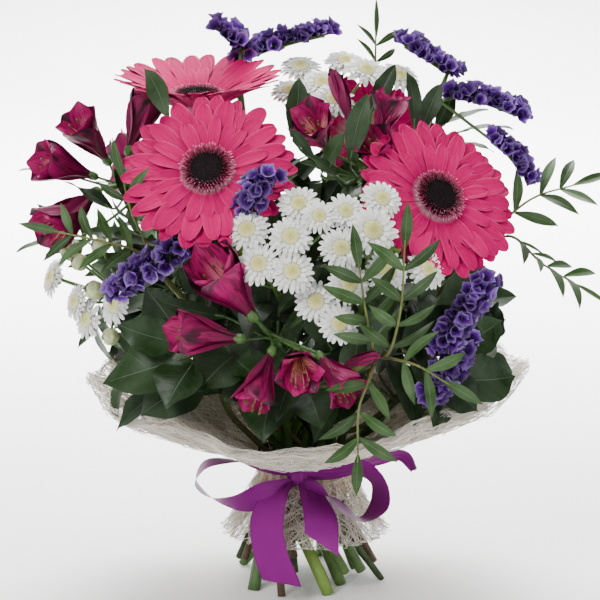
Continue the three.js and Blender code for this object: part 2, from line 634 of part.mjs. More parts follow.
// The florets crowd the outer side of the cluster as raised knobs on a slim rib.
function staticeCluster(points, seed, grow) {
  const line = points.map(fromList);
  const spacing = 7.2;
  const places = [];
  for (let i = 0; i + 1 < line.length; i += 1) {
    const steps = Math.max(1, Math.round(line[i].distanceTo(line[i + 1]) / spacing));
    for (let k = 0; k < steps; k += 1) places.push(line[i].clone().lerp(line[i + 1], k / steps));
  }
  places.push(line[line.length - 1]);
  const directions = tangents(places);
  const reaches = [2.3, 2, 0.7, 0.7, 2].map((share) => share * STATICE_FLORET_RADIUS);
  const rings = places.map((place, i) => {
    const outward = place.clone().sub(DOME_CENTRE).normalize();
    const side = directions[i].clone().cross(outward).normalize();
    const top = side.clone().cross(directions[i]).normalize();
    return reaches.map((reach, k) => {
      const knob = (i + k) % 2 === 0 ? 1.22 : 0.74;
      const radius = reach * knob * (0.9 + 0.2 * noise(seed + 5 * i + k)) + grow;
      const angle = 2 * Math.PI * k / reaches.length;
      return place.clone().addScaledVector(top, radius * Math.cos(angle)).addScaledVector(side,
          radius * Math.sin(angle));
    });
  });
  const endReach = 4 + 2 * grow;
  const first = places[0].clone().addScaledVector(directions[0], -endReach);
  const last = places[places.length - 1].clone().addScaledVector(directions[places.length - 1], endReach);
  return loft([[first], ...rings, [last]]);
}

// The point of a stem nearest to a place, kept a little short of the stem's end.
function nearestOn(points, place) {
  let best = points[0];
  const shortOfEnd = 4;
  for (let i = 1; i < points.length; i += 1) {
    const line = points[i].clone().sub(points[i - 1]);
    const most = i + 1 < points.length ? 1 : 1 - shortOfEnd / line.length();
    const share = Math.min(most, Math.max(0, place.clone().sub(points[i - 1]).dot(line) / line.lengthSq()));
    const candidate = points[i - 1].clone().addScaledVector(line, share);
    if (i === 1 || candidate.distanceTo(place) < best.distanceTo(place)) best = candidate;
  }
  return best;
}

// A leaf: its stalk starts inside the stem and runs to the foot of the blade, which ends in the tip.
function leaf(points, base, tip, width, shape, grow) {
  const root = nearestOn(points, base);
  const stalk = base.clone().sub(root);
  const [rooted, shortStalk, stalkWidth] = [1.5, 12, 2.6];
  const stalkWay = stalk.clone().normalize();
  const length = tip.distanceTo(base);
  const outward = base.clone().lerp(tip, 0.5).sub(DOME_CENTRE);
  const up = outward.setZ(Math.abs(outward.z) + shape.lift).normalize();
  const place = (share) => base.clone().lerp(tip, share)
    .addScaledVector(up, shape.arch * length * (1 - (2 * share - 1) * (2 * share - 1)));
  const stalkPoints = stalk.length() < shortStalk ? [root.clone().addScaledVector(stalkWay, 1)]
    : [root.clone().addScaledVector(stalkWay, 1), base];
  const spine = [root.clone().addScaledVector(stalkWay, -rooted), ...stalkPoints,
      ...shape.stations.map(place), tip];
  const widths = [...stalkPoints.map(() => stalkWidth), ...shape.widths.map((share) => share * width)];
  return blade(spine, widths, up, shape.thickness, shape.cup, grow);
}

const broad = { arch: 0.07, stations: [0.3, 0.66], widths: [0.94, 0.86], thickness: 1.6, cup: 0.16, lift: 60 };
const slender = { arch: 0.06, stations: [0.5], widths: [1], thickness: 1.4, cup: 0.3, lift: 20 };

const salalLeaves = {
  salal_left: [[[-72, -108, 174], [-128, -96, 154], 40], [[-70, -122, 172], [-86, -137, 147], 36],
    [[-62, -112, 162], [-104, -108, 136], 38], [[-80, -104, 182], [-118, -104, 194], 26],
    [[-44, -122, 178], [-66, -137, 158], 34], [[-80, -98, 188], [-100, -110, 218], 30]],
  salal_front: [[[-18, -116, 154], [-26, -144, 127], 36], [[-8, -118, 166], [-18, -152, 142], 22],
    [[2, -116, 154], [10, -147, 136], 30], [[-30, -112, 162], [-50, -134, 150], 28]],
  salal_right: [[[96, -84, 154], [136, -62, 152], 34], [[86, -92, 152], [110, -92, 135], 32],
    [[84, -82, 138], [80, -114, 130], 20], [[98, -70, 172], [128, -48, 186], 26]],
  salal_back_left: [[[-86, 92, 168], [-124, 112, 164], 38], [[-74, 98, 170], [-80, 144, 166], 38],
    [[-92, 80, 176], [-142, 70, 182], 34], [[-62, 92, 178], [-44, 138, 192], 30]],
  salal_back_right: [[[92, 90, 168], [130, 110, 164], 38], [[78, 98, 170], [76, 142, 166], 36],
    [[98, 76, 176], [148, 64, 182], 34], [[66, 92, 178], [46, 138, 192], 30]],
};

const alstroemeriaLeaves = {
  alstroemeria_front: [[[-50, -112, 200], [-92, -128, 214], 12], [[-12, -116, 196], [-2, -146, 204], 12]],
  alstroemeria_centre: [[[42, -50, 322], [58, -44, 352], 13], [[28, -96, 296], [39, -86, 337], 15],
    [[70, -48, 312], [65, -38, 348], 13], [[75, -42, 310], [88, -34, 339], 13], [[-8, -72, 308],
    [-4, -68, 346], 15],
    [[10, -108, 290], [24, -120, 316], 15], [[6, -106, 296], [-12, -106, 318], 8], [[22, -112, 286],
    [0, -124, 303], 9]],
  alstroemeria_left: [[[-86, -86, 322], [-100, -91, 353], 14], [[-124, -66, 262], [-152, -88, 282], 13],
    [[-156, -34, 280], [-186, -40, 283], 9], [[-146, -38, 240], [-188, -42, 230], 14], [[-118, -52, 282],
    [-124, -58, 306], 12]],
  alstroemeria_back: [[[-70, 74, 266], [-60, 96, 296], 14], [[-104, 58, 256], [-148, 64, 262], 13],
    [[-92, 84, 236], [-116, 124, 232], 14]],
};

// Pistacia: each compound leaf as its midrib; slim leaflets stand opposite each other along it.
const fronds = {
  pistacia_front: [[[41, -150, 188], [36, -163, 214], [32, -169, 240]], [[50, -150, 184], [57, -165, 214],
      [59, -169, 252]],
    [[56, -148, 180], [68, -156, 178], [84, -154, 168]], [[40, -152, 172], [33, -163, 156], [32, -154, 122]]],
  pistacia_right: [[[132, -26, 250], [150, -22, 263], [176, -20, 271]], [[134, -40, 240], [153, -50, 224],
      [174, -52, 211]]],
  pistacia_left: [[[-104, -104, 240], [-128, -106, 247], [-154, -96, 251]], [[-100, -102, 246],
      [-108, -114, 268], [-112, -112, 284]]],
  pistacia_top: [[[47, 23, 344], [47, 20, 356], [47, 18, 364]]],
  pistacia_back: [[[14, 136, 216], [4, 154, 200], [-2, 160, 176]], [[26, 134, 214], [44, 150, 214],
      [62, 152, 206]],
    [[20, 138, 220], [30, 152, 248], [34, 150, 272]]],
  pistacia_back_left: [[[-126, 88, 202], [-150, 92, 214], [-166, 84, 228]], [[-122, 96, 196],
      [-136, 118, 186], [-142, 132, 170]]],
};

const frondShape = { rib: 1.1, leafletLength: 28, leafletWidth: 9, spacing: 16, sweep: 0.75 };

// One thin blade cut to the rib: its edges run out to the tip of each leaflet and back to the rib.
function frond(stemPoints, midrib, grow) {
  const line = midrib.map(fromList);
  const root = nearestOn(stemPoints, line[0]);
  const { rib, leafletLength, leafletWidth, spacing, sweep } = frondShape;
  const rings = [];
  const addRing = (place, direction, outward, reach, lean) => {
    const side = direction.clone().cross(outward).normalize();
    const normal = side.clone().cross(direction).normalize();
    const left = place.clone().addScaledVector(side, -reach[0] - 1.5 * grow).addScaledVector(direction,
        lean[0]);
    const right = place.clone().addScaledVector(side, reach[1] + 1.5 * grow).addScaledVector(direction,
        lean[1]);
    rings.push([left, place.clone().addScaledVector(normal, rib + grow), right,
      place.clone().addScaledVector(normal, -rib - grow)]);
  };
  const outwardAt = (place) => place.clone().sub(DOME_CENTRE).normalize();
  const first = line[0].clone().sub(root).normalize();
  addRing(root.clone().addScaledVector(first, -rib), first, outwardAt(root), [rib, rib], [0, 0]);
  for (let i = 0; i + 1 < line.length; i += 1) {
    const length = line[i].distanceTo(line[i + 1]);
    const direction = line[i + 1].clone().sub(line[i]).normalize();
    const steps = Math.max(1, Math.round(length / spacing));
    for (let k = 0; k < steps; k += 1) {
      const place = line[i].clone().addScaledVector(direction, length * (k + 0.2) / steps);
      const outward = outwardAt(place);
      const draws = [0, 1].map((hand) => 0.85 + 0.3 * noise(17 * i + 5 * k + 3 * hand + place.x));
      const across = leafletLength / Math.hypot(1, sweep);
      addRing(place, direction, outward, [rib, rib], [0, 0]);
      addRing(place.clone().addScaledVector(direction, leafletWidth / 2), direction, outward,
        draws.map((draw) => draw * across), draws.map((draw) => draw * across * sweep));
      addRing(place.clone().addScaledVector(direction, leafletWidth), direction, outward, [rib, rib], [0, 0]);
    }
  }
  const end = line[line.length - 1];
  const onward = end.clone().sub(line[line.length - 2]).normalize();
  const middle = end.clone().addScaledVector(onward, 0.4 * leafletLength);
  addRing(middle, onward, outwardAt(end), [leafletWidth / 2, leafletWidth / 2], [0, 0]);
  rings.push([end.clone().addScaledVector(onward, leafletLength + 2 * grow)]);
  return loft(rings);
}

// The sisal sheet: its rim as azimuth in degrees, radius and height, round from the right.
const sheetRim = [[0, 146, 145], [50, 138, 140], [90, 136, 138], [135, 140, 138], [180, 142, 136],
    [227, 131, 122],
  [267, 123, 103], [312, 128, 126], [360, 146, 145]];
const sheetNeck = { radius: 30.1, low: 76, high: 90 };
const sheetSkirt = { radius: 51, low: 36 };
const sheetColumns = 26;

function rimAt(azimuth) {
  const k = sheetRim.findIndex((row, i) => azimuth >= row[0] && azimuth < sheetRim[i + 1][0]);
  const [from, to] = [sheetRim[k], sheetRim[k + 1]];
  const share = (azimuth - from[0]) / (to[0] - from[0]);
  const blend = share * share * (3 - 2 * share);
  return [from[1] + (to[1] - from[1]) * blend, from[2] + (to[2] - from[2]) * blend];
}

function sheetProfile(column) {
  const azimuth = 360 * column / sheetColumns;
  const [rimRadius, rimHeight] = rimAt(azimuth);
  const ruffle = 3 * Math.sin(radians(azimuth * 9)) + 2 * (noise(column) - 0.5);
  const { radius: neck, low, high } = sheetNeck;
  const hem = sheetSkirt.low + 8 * (noise(column + 90) - 0.5);
  const flare = (share) => [neck + (rimRadius - neck) * share,
    high + (rimHeight - high) * share + (0.1 * rimRadius - 8) * Math.sin(Math.PI * share) * -0.8];
  return [[sheetSkirt.radius, hem], [neck, low], [neck, high], flare(0.45),
    [rimRadius, rimHeight + ruffle]];
}

function sisalSheet(grow) {
  const profiles = Array.from({ length: sheetColumns }, (_, column) => sheetProfile(column));
  const half = SHEET_THICKNESS / 2 + grow;
  const place = (column, row, sign) => {
    const profile = profiles[column];
    const azimuth = 2 * Math.PI * column / sheetColumns;
    const [before, after] = [profile[Math.max(row - 1, 0)], profile[Math.min(row + 1, profile.length - 1)]];
    const slope = new Vector2(after[0] - before[0], after[1] - before[1]).normalize();
    const radius = profile[row][0] + sign * half * slope.y;
    const height = profile[row][1] - sign * half * slope.x;
    return vector(radius * Math.cos(azimuth), radius * Math.sin(azimuth), height);
  };
  const rows = profiles[0].length;
  const rings = [];
  const ring = (row, sign) => Array.from({ length: sheetColumns }, (_, column) => place(column, row, sign));
  for (let row = 0; row < rows; row += 1) rings.push(ring(row, 1));
  for (let row = rows - 1; row >= 0; row -= 1) rings.push(ring(row, -1));
  return [loft(rings, true)];
}

// Ribbon strips: each point with the direction of the strip's width there and the share of its full width.
const strips = {
  left_loop: [[[-8, -40, 83.5], [0, 0, 1], 0.3], [[-26, -47, 88], [0.3, -0.7, 0.5], 0.8], [[-50, -50, 93],
      [0.1, -1, 0.1], 1],
    [[-67, -50, 89], [0.1, -1, 0], 1], [[-72, -50, 79], [0, -1, 0.1], 1], [[-64, -52, 70], [-0.2, -0.9, 0.3],
    1],
    [[-46, -54, 66], [-0.3, -0.7, 0.6], 1], [[-24, -50, 71], [-0.3, -0.2, 0.9], 0.8], [[-8, -41, 77],
    [0, 0, 1], 0.25]],
  right_loop: [[[-2, -41, 83.5], [0, 0, 1], 0.3], [[18, -47, 87], [0.2, -0.6, 0.6], 0.8], [[38, -50, 87],
      [0.6, -0.7, 0.4], 1],
    [[50, -49, 74], [0.9, -0.4, 0.1], 1], [[50, -48, 60], [0.8, -0.6, 0], 1], [[39, -52, 53], [0.1, -1, 0.1],
    1],
    [[26, -54, 60], [-0.5, -0.8, 0.3], 1], [[14, -50, 70], [-0.5, -0.5, 0.6], 0.8], [[-2, -41, 76.5],
    [0, 0, 1], 0.25]],
  left_tail: [[[-8.5, -42, 77], [1, 0, 0.2], 0.25], [[-18, -49, 70], [1, 0, 0.25], 0.7], [[-25, -60, 54],
      [1, 0.1, 0], 1],
    [[-23, -67, 36], [1, 0.1, -0.1], 1], [[-15, -70, 15], [1, 0.1, -0.5], 1]],
  right_tail: [[[-2.5, -38.5, 77], [1, 0, 0], 0.25], [[4, -46, 68], [1, 0.1, -0.1], 0.7], [[10, -58, 55],
      [1, 0.1, -0.1], 1],
    [[11, -66, 40], [1, 0.1, 0.55], 1]],
  far_end: [[[-2, -36.5, 80.5], [0, 0, 1], 0.3], [[28, -40, 84], [0.2, -0.6, 0.6], 0.7], [[54, -37, 90],
      [0.3, -0.8, 0.1], 0.8],
    [[68, -32, 87], [0.5, -0.8, 0.1], 0.7], [[73, -30, 77], [0.6, -0.8, 0.1], 0.4]],
};

function strip(points, grow) {
  const line = points.map(([place]) => fromList(place));
  const directions = tangents(line);
  const rings = points.map(([, width, share], i) => {
    const across = fromList(width).addScaledVector(directions[i],
        -fromList(width).dot(directions[i])).normalize();
    const normal = across.clone().cross(directions[i]).normalize();
    const [half, thin] = [share * RIBBON_WIDTH / 2 + grow, RIBBON_THICKNESS / 2 + grow];
    return [[-1, -1], [1, -1], [1, 1], [-1, 1]].map(([u, v]) => line[i].clone()
      .addScaledVector(across, u * half).addScaledVector(normal, v * thin));
  });
  return loft(rings);
}

// The ribbon's band goes round the neck of the sheet, and its knot is pulled tight in front.
function ribbonParts(grow) {
  const bandRadius = sheetNeck.radius + SHEET_THICKNESS / 2 + CLEARANCE + RIBBON_THICKNESS / 2 + 0.2;
  const [inner, outer] = [bandRadius - RIBBON_THICKNESS / 2 - grow,
      bandRadius + RIBBON_THICKNESS / 2 + 0.6 + grow];
  const [low, high] = [sheetNeck.low + 1.5 - grow, sheetNeck.high - 1.5 + grow];
  const sides = 16;
  const rings = [[inner, low], [outer, low], [outer, high], [inner, high]].map(([radius, height]) =>
    Array.from({ length: sides }, (_, k) => {
      const angle = 2 * Math.PI * (k + 0.5) / sides;
      const corner = radius / Math.cos(Math.PI / sides);
      return vector(corner * Math.cos(angle), corner * Math.sin(angle), height);
    }));
  const knotSize = { left: -12.5, right: 2.5, front: -44.5, low: 73.5, high: 87.5, pinch: 1.5 };
  const knotRing = (y, inset) => [[knotSize.left + inset, knotSize.low + inset],
      [knotSize.right - inset, knotSize.low + inset],
    [knotSize.right - inset, knotSize.high - inset], [knotSize.left + inset, knotSize.high - inset]]
    .map(([x, z]) => vector(x, y, z));
  const knotBack = -0.5 * (inner + outer);
  const parts = [loft(rings, true), loft([knotRing(knotBack, knotSize.pinch - grow),
      knotRing(0.5 * (knotBack + knotSize.front), -grow),
    knotRing(knotSize.front - grow, knotSize.pinch - grow)])];
  for (const points of Object.values(strips)) parts.push(strip(points, grow));
  return parts;
}

// Twine wound twice round the stems at the tying point.
function tieParts(grow) {
  const slack = 0.6;
  const inner = BUNDLE_RADIUS + slack - grow;
  const outer = BUNDLE_RADIUS + slack + 2 * TIE_TWINE_RADIUS + grow;
  const low = TIE_HEIGHT - TIE_TURNS * TIE_TWINE_RADIUS - grow;
  const groove = 0.6;
  const profile = [new Vector2(inner, low)];
  for (let turn = 0; turn < TIE_TURNS; turn += 1) {
    const centre = low + (2 * turn + 1) * TIE_TWINE_RADIUS;
    profile.push(new Vector2(outer - groove, centre - TIE_TWINE_RADIUS), new Vector2(outer, centre));
  }
  const high = TIE_HEIGHT + TIE_TURNS * TIE_TWINE_RADIUS + grow;
  profile.push(new Vector2(outer - groove, high), new Vector2(inner, high), profile[0].clone());
  const lathe = new LatheGeometry(profile, 12);
  lathe.deleteAttribute('normal');
  lathe.deleteAttribute('uv');
  const merged = mergeVertices(lathe, 1e-4);
  const places = merged.getAttribute('position');
  const vertices = Array.from({ length: places.count }, (_, i) => vector(places.getX(i), -places.getZ(i),
      places.getY(i)));
  return [solid(vertices, Array.from(merged.index.array))];
}

// The pieces, the stiffest first, so that leaves give way to stems and blooms

for (const name of Object.keys(gerberas)) addPiece(`${name}_stem`, 'gerbera_stem', (grow) => gerberaStem(name,
    grow));
const plainStems = Object.keys(stems).filter((name) => /chrysanthemum|statice/.test(name));
for (const name of plainStems) addPiece(`${name}_stem`, 'green_stem', (grow) => [stemTube(name, grow)]);
const leafyStems = Object.keys(stems).filter((name) => /alstroemeria|pistacia|salal/.test(name));
for (const name of leafyStems) reserve(name, [stemTube(name, CLEARANCE)]);
addPiece('binding_tie', 'twine', tieParts);
addPiece('sisal_collar', 'sisal', sisalSheet);

const sprays = [];
for (const name of Object.keys(heads)) {
  sprays.push([`${name}_heads`, 'white_heads', (grow) => [...branchTubes(name, grow),
    ...headFrames[name].map(({ frame, radius }) => chrysanthemumHead(frame, radius, grow))]]);
}
for (const name of Object.keys(blooms)) {
  sprays.push([`${name}_blooms`, 'alstroemeria', (grow) => [...branchTubes(name, grow),
    ...bloomParts[name].map(({ base, tip, open }) => alstroemeriaBloom(base, tip, open, grow))]]);
}
for (const [index, name] of Object.keys(clusters).entries()) {
  sprays.push([`${name}_florets`, 'statice', (grow) => [...branchTubes(name, grow),
    ...clusters[name].map((points, k) => staticeCluster(points, 900 + 100 * index + 30 * k, grow))]]);
}

// These come out between the petals of a gerbera, so its petals give way to them.
const throughPetals = ['statice_left_florets', 'statice_top_left_florets', 'chrysanthemum_front_right_heads'];
for (const spray of sprays.filter(([name]) => throughPetals.includes(name))) addPiece(...spray);
for (const [name, bloom] of Object.entries(gerberas)) {
  addPiece(`${name}_petals`, 'gerbera_petals', (grow) => gerberaPetals(bloom, grow));
  addPiece(`${name}_disc`, 'gerbera_disc', (grow) => gerberaDisc(bloom, grow));
}
for (const spray of sprays.filter(([name]) => !throughPetals.includes(name))) addPiece(...spray);

for (const [name, list] of Object.entries(fronds)) {
  addPiece(name, 'pistacia', (grow) => [stemTube(name, grow),
    ...list.map((midrib) => frond(lines[name].points, midrib, grow))]);
}
for (const [name, list] of Object.entries(alstroemeriaLeaves)) {
  addPiece(name, 'green_stem', (grow) => [stemTube(name, grow), ...list.map(([base, tip, width]) =>
    leaf(lines[name].points, fromList(base), fromList(tip), width, slender, grow))]);
}
for (const [name, list] of Object.entries(salalLeaves)) {
  addPiece(name, 'salal', (grow) => [stemTube(name, grow), ...list.map(([base, tip, width]) =>
    leaf(lines[name].points, fromList(base), fromList(tip), width, broad, grow))]);
}
addPiece('ribbon', 'ribbon', ribbonParts);

const middle = new Box3().setFromObject(bouquet).getCenter(new Vector3());
bouquet.position.set(-middle.x, -middle.y, 0);

export default bouquet;
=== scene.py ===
"""A hand-tied mixed flower bouquet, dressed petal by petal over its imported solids.

Lengths in the tables are millimetres in the bouquet's own plan: the tie is at x = 0, y = 0, the front is
towards -Y and the longest cut stems stand at z = 0.
"""
import math

import bpy
import numpy as np
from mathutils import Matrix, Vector


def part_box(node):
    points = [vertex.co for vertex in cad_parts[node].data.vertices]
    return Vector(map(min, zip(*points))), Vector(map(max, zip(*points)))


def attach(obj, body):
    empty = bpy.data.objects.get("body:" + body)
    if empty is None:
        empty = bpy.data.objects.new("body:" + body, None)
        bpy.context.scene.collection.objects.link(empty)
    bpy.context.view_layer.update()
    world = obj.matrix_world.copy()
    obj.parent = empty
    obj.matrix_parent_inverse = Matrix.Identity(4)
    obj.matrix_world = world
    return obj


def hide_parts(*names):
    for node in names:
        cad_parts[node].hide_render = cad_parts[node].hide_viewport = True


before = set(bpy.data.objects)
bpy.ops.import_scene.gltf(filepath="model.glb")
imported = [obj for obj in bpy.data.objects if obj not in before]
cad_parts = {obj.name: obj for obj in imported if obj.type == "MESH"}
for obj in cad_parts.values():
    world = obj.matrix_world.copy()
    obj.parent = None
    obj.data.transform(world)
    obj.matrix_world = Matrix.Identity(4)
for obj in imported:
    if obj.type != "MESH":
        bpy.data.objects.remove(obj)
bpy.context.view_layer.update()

bl_info = {
    "name": "Hand-tied mixed bouquet",
    "version": (1, 0, 0),
    "blender": (4, 5, 0),
    "location": "View3D > Sidebar > Bouquet",
    "description": "Builds the blooms, foliage, stems, sisal collar and ribbon of a hand-tied bouquet",
    "category": "Add Mesh",
}

MM = 0.001

# The bundle at the tie, and the gap kept between stems.
TIE_HEIGHT = 82
BUNDLE_RADIUS = 25
CLEARANCE = 0.3

# How far a foot lies sideways and inwards of its place at the tie, and the turn of the tops, in degrees.
FOOT_SPREAD = 2.2
FOOT_INWARD = 0.9
HEAD_TWIST = 65

DOME_CENTRE = np.array([-5.0, 10.0, 160.0])
UP = np.array([0.0, 0.0, 1.0])

# A gerbera's stem is leafless, and stops short of the bloom by the depth of its cup.
BARE_STEM = dict(radius=3.6, back=9.8)

# Where each stem ends (top), the way it points there, its radius, how far short of its top it stops (back),
# where it stands on the ground (foot), and how high its cut end is, unless it is at the ground.
STEMS = {
    "gerbera_left": dict(top=(-60, -118, 292), face=(-0.1, -0.78, 0.62), **BARE_STEM, foot=(-54, 2), cut=16),
    "gerbera_right": dict(top=(82, -100, 273), face=(0.4, -0.74, 0.54), **BARE_STEM, foot=(17, -60)),
    "gerbera_top": dict(top=(-70, -25, 327), face=(-0.12, -0.25, 0.96), **BARE_STEM, foot=(-3, -38), cut=5),
    "gerbera_back": dict(top=(45, 92, 292), face=(0.3, 0.72, 0.62), **BARE_STEM, foot=(-30, 46)),
    "chrysanthemum_front_left": dict(top=(-14, -100, 206), face=(-0.1, -0.8, 0.6), radius=2.6, foot=(32, -38),
                                     cut=12),
    "chrysanthemum_front_right": dict(top=(36, -98, 200), face=(0.2, -0.8, 0.56), radius=3.3, foot=(49, -45)),
    "chrysanthemum_top": dict(top=(18, 2, 292), face=(0.1, 0, 1), radius=2.8, cut=22),
    "chrysanthemum_left": dict(top=(-104, -58, 196), face=(-0.85, -0.35, 0.4), radius=2.6, cut=8),
    "chrysanthemum_back": dict(top=(-18, 92, 232), face=(-0.1, 0.8, 0.6), radius=2.8, foot=(6, 60)),
    "alstroemeria_front": dict(top=(-19, -112, 186), face=(-0.1, -0.95, 0.2), radius=3, cut=14),
    "alstroemeria_centre": dict(top=(34, -58, 284), face=(0.1, -0.3, 0.95), radius=3, cut=26),
    "alstroemeria_left": dict(top=(-118, -24, 272), face=(-0.7, -0.1, 0.7), radius=3, cut=10),
    "alstroemeria_back": dict(top=(-84, 66, 244), face=(-0.6, 0.5, 0.6), radius=3, foot=(-58, 22)),
    "statice_top_left": dict(top=(-44, 14, 336), face=(0.1, 0.1, 1), radius=2.4, cut=30),
    "statice_top_right": dict(top=(84, 4, 318), face=(0.4, 0.05, 0.9), radius=2.4, cut=18),
    "statice_left": dict(top=(-58, -112, 236), face=(-0.4, -0.7, 0.5), radius=3.2, foot=(-56, -40)),
    "statice_right": dict(top=(92, -78, 168), face=(0.6, -0.6, 0.5), radius=2.6, cut=20),
    "statice_back": dict(top=(92, 62, 238), face=(0.7, 0.5, 0.5), radius=2.4, foot=(42, 42)),
    "pistacia_front": dict(top=(44, -132, 180), face=(0.1, -0.9, 0.3), radius=2.2, foot=(-11, -60)),
    "pistacia_right": dict(top=(118, -24, 232), face=(0.9, -0.1, 0.4), radius=2.2, cut=34),
    "pistacia_left": dict(top=(-98, -92, 232), face=(-0.7, -0.4, 0.4), radius=2.2, cut=10),
    "pistacia_top": dict(top=(47, 24, 330), face=(0, -0.1, 1), radius=2, cut=36),
    "pistacia_back": dict(top=(20, 122, 206), face=(0.1, 0.9, 0.4), radius=2.2, cut=16),
    "pistacia_back_left": dict(top=(-114, 84, 196), face=(-0.7, 0.5, 0.4), radius=2.2, cut=24),
    "salal_left": dict(top=(-66, -102, 170), face=(-0.8, -0.6, 0.2), radius=2, foot=(-64, -8), cut=14),
    "salal_front": dict(top=(-8, -104, 152), face=(0, -1, 0.1), radius=2, cut=18),
    "salal_right": dict(top=(88, -66, 152), face=(0.8, -0.5, 0.2), radius=2, foot=(66, -20)),
    "salal_back_left": dict(top=(-76, 82, 168), face=(-0.6, 0.7, 0.2), radius=2, cut=12),
    "salal_back_right": dict(top=(82, 80, 168), face=(0.6, 0.7, 0.2), radius=2, cut=22),
}

# Gerberas: how far the petals cup up (degrees) and droop at the tip.
GERBERAS = {
    "gerbera_left": dict(cup=10, droop=2, seed=1),
    "gerbera_right": dict(cup=12, droop=3, seed=2),
    "gerbera_top": dict(cup=33, droop=4, seed=3, face=(0, -0.16, 0.98)),
    "gerbera_back": dict(cup=14, droop=2, seed=4),
}
GERBERA_RADIUS = 55
GERBERA_ROOT = 11
GERBERA_DISC_RADIUS = 17.5

# Chrysanthemum heads: place and radius. Those under 9 mm are buds.
HEADS = {
    "chrysanthemum_front_left": [
        (-35, -146, 259, 14), (-28, -156, 240, 13.5), (-9, -153, 256, 13.5), (-8, -160, 236, 13.5),
        (-4, -140, 274, 13), (8, -150, 268, 11), (24, -143, 270, 12),
    ],
    "chrysanthemum_front_right": [
        (21, -159, 250, 13.5), (40, -149, 259, 16), (46, -132, 276, 13), (26, -156, 228, 13),
        (49, -149, 234, 13.5), (6, -154, 217, 13), (20, -159, 204, 12.5), (74, -131, 233, 13.5),
    ],
    "chrysanthemum_top": [
        (-3, 18, 344, 14), (11, -12, 336, 14), (-10, -2, 330, 13), (27, 22, 347, 14.5), (40, 0, 343, 15),
        (18, -40, 328, 14), (62, 4, 339, 14.5),
    ],
    "chrysanthemum_left": [
        (-161, -60, 216, 13.5), (-152, -50, 233, 8), (-145, -64, 227, 6), (-130, -87, 241, 6),
        (-145, -77, 203, 12), (-134, -87, 213, 6.5), (-137, -84, 193, 13), (-119, -94, 204, 13),
        (-124, -88, 183, 6),
    ],
    "chrysanthemum_back": [
        (-46, 142, 248, 15), (-18, 150, 262, 15), (-28, 156, 232, 16), (4, 154, 242, 14),
        (-54, 138, 220, 14), (-8, 152, 210, 14),
    ],
}

# How far the heads of a spray lean to the front, as a share of their own direction.
FRONT_LEAN = {"chrysanthemum_top": 0.55}

# Alstroemeria blooms: base, tip, and how far open.
BLOOMS = {
    "alstroemeria_front": [
        ((-31, -134, 203), (-60, -165, 246), 0.7), ((-38, -134, 190), (-84, -150, 199), 0.75),
        ((-20, -137, 185), (-34, -160, 152), 0.75), ((-5, -134, 184), (-3, -173, 174), 1),
        ((8, -137, 182), (28, -162, 160), 0.9), ((20, -140, 174), (46, -150, 184), 0.35),
    ],
    "alstroemeria_centre": [
        ((30, -58, 312), (17, -46, 350), 0.35), ((14, -74, 300), (2, -102, 326), 1),
        ((46, -56, 300), (55, -60, 337), 0.9), ((52, -72, 284), (40, -98, 312), 0.9),
    ],
    "alstroemeria_left": [
        ((-134, -38, 270), (-162, -66, 250), 0.8), ((-136, -32, 278), (-166, -50, 290), 0.8),
        ((-128, -24, 286), (-146, -42, 314), 0.8), ((-116, -20, 292), (-103, -22, 328), 0.6),
    ],
    "alstroemeria_back": [
        ((-104, 84, 250), (-132, 112, 262), 0.9), ((-90, 88, 262), (-104, 116, 288), 0.9),
        ((-104, 70, 266), (-136, 76, 290), 0.8), ((-84, 78, 272), (-86, 84, 306), 0.4),
    ],
}

# How much longer and fuller the blooms of an umbel are than the others.
FULLER = {"alstroemeria_left": 1.22}

# Statice clusters: the line that the florets stand along.
CLUSTERS = {
    "statice_top_left": [[(-42, 10, 357), (-56, 10, 369)], [(-41, 22, 351), (-12, 26, 360), (13, 28, 366)]],
    "statice_top_right": [
        [(94, 1, 343), (80, 4, 352), (66, 8, 360)], [(98, 0, 327), (119, 0, 323), (140, 0, 315)],
        [(122, -18, 300), (135, -20, 289), (143, -22, 277)],
    ],
    "statice_left": [
        [(-37, -134, 270), (-30, -138, 280), (-23, -141, 290)],
        [(-70, -132, 250), (-92, -127, 236), (-115, -119, 219)],
    ],
    "statice_right": [
        [(85, -101, 182), (97, -106, 202), (110, -109, 221)],
        [(102, -90, 182), (91, -96, 166), (78, -100, 150)],
    ],
    "statice_back": [
        [(112, 82, 252), (122, 92, 232)], [(96, 78, 276), (84, 96, 292)], [(104, 96, 216), (92, 110, 200)],
    ],
}

# Leaves: base, tip and width.
SALAL_LEAVES = {
    "salal_left": [
        ((-72, -108, 174), (-128, -96, 154), 40), ((-70, -122, 172), (-86, -137, 147), 36),
        ((-62, -112, 162), (-104, -108, 136), 38), ((-80, -104, 182), (-118, -104, 194), 26),
        ((-44, -122, 178), (-66, -137, 158), 34), ((-80, -98, 188), (-100, -110, 218), 30),
    ],
    "salal_front": [
        ((-18, -116, 154), (-26, -144, 127), 36), ((-8, -118, 166), (-18, -152, 142), 22),
        ((2, -116, 154), (10, -147, 136), 30), ((-30, -112, 162), (-50, -134, 150), 28),
    ],
    "salal_right": [
        ((96, -84, 154), (136, -62, 152), 34), ((86, -92, 152), (110, -92, 135), 32),
        ((84, -82, 138), (80, -114, 130), 20), ((98, -70, 172), (128, -48, 186), 26),
    ],
    "salal_back_left": [
        ((-86, 92, 168), (-124, 112, 164), 38), ((-74, 98, 170), (-80, 144, 166), 38),
        ((-92, 80, 176), (-142, 70, 182), 34), ((-62, 92, 178), (-44, 138, 192), 30),
    ],
    "salal_back_right": [
        ((92, 90, 168), (130, 110, 164), 38), ((78, 98, 170), (76, 142, 166), 36),
        ((98, 76, 176), (148, 64, 182), 34), ((66, 92, 178), (46, 138, 192), 30),
    ],
}
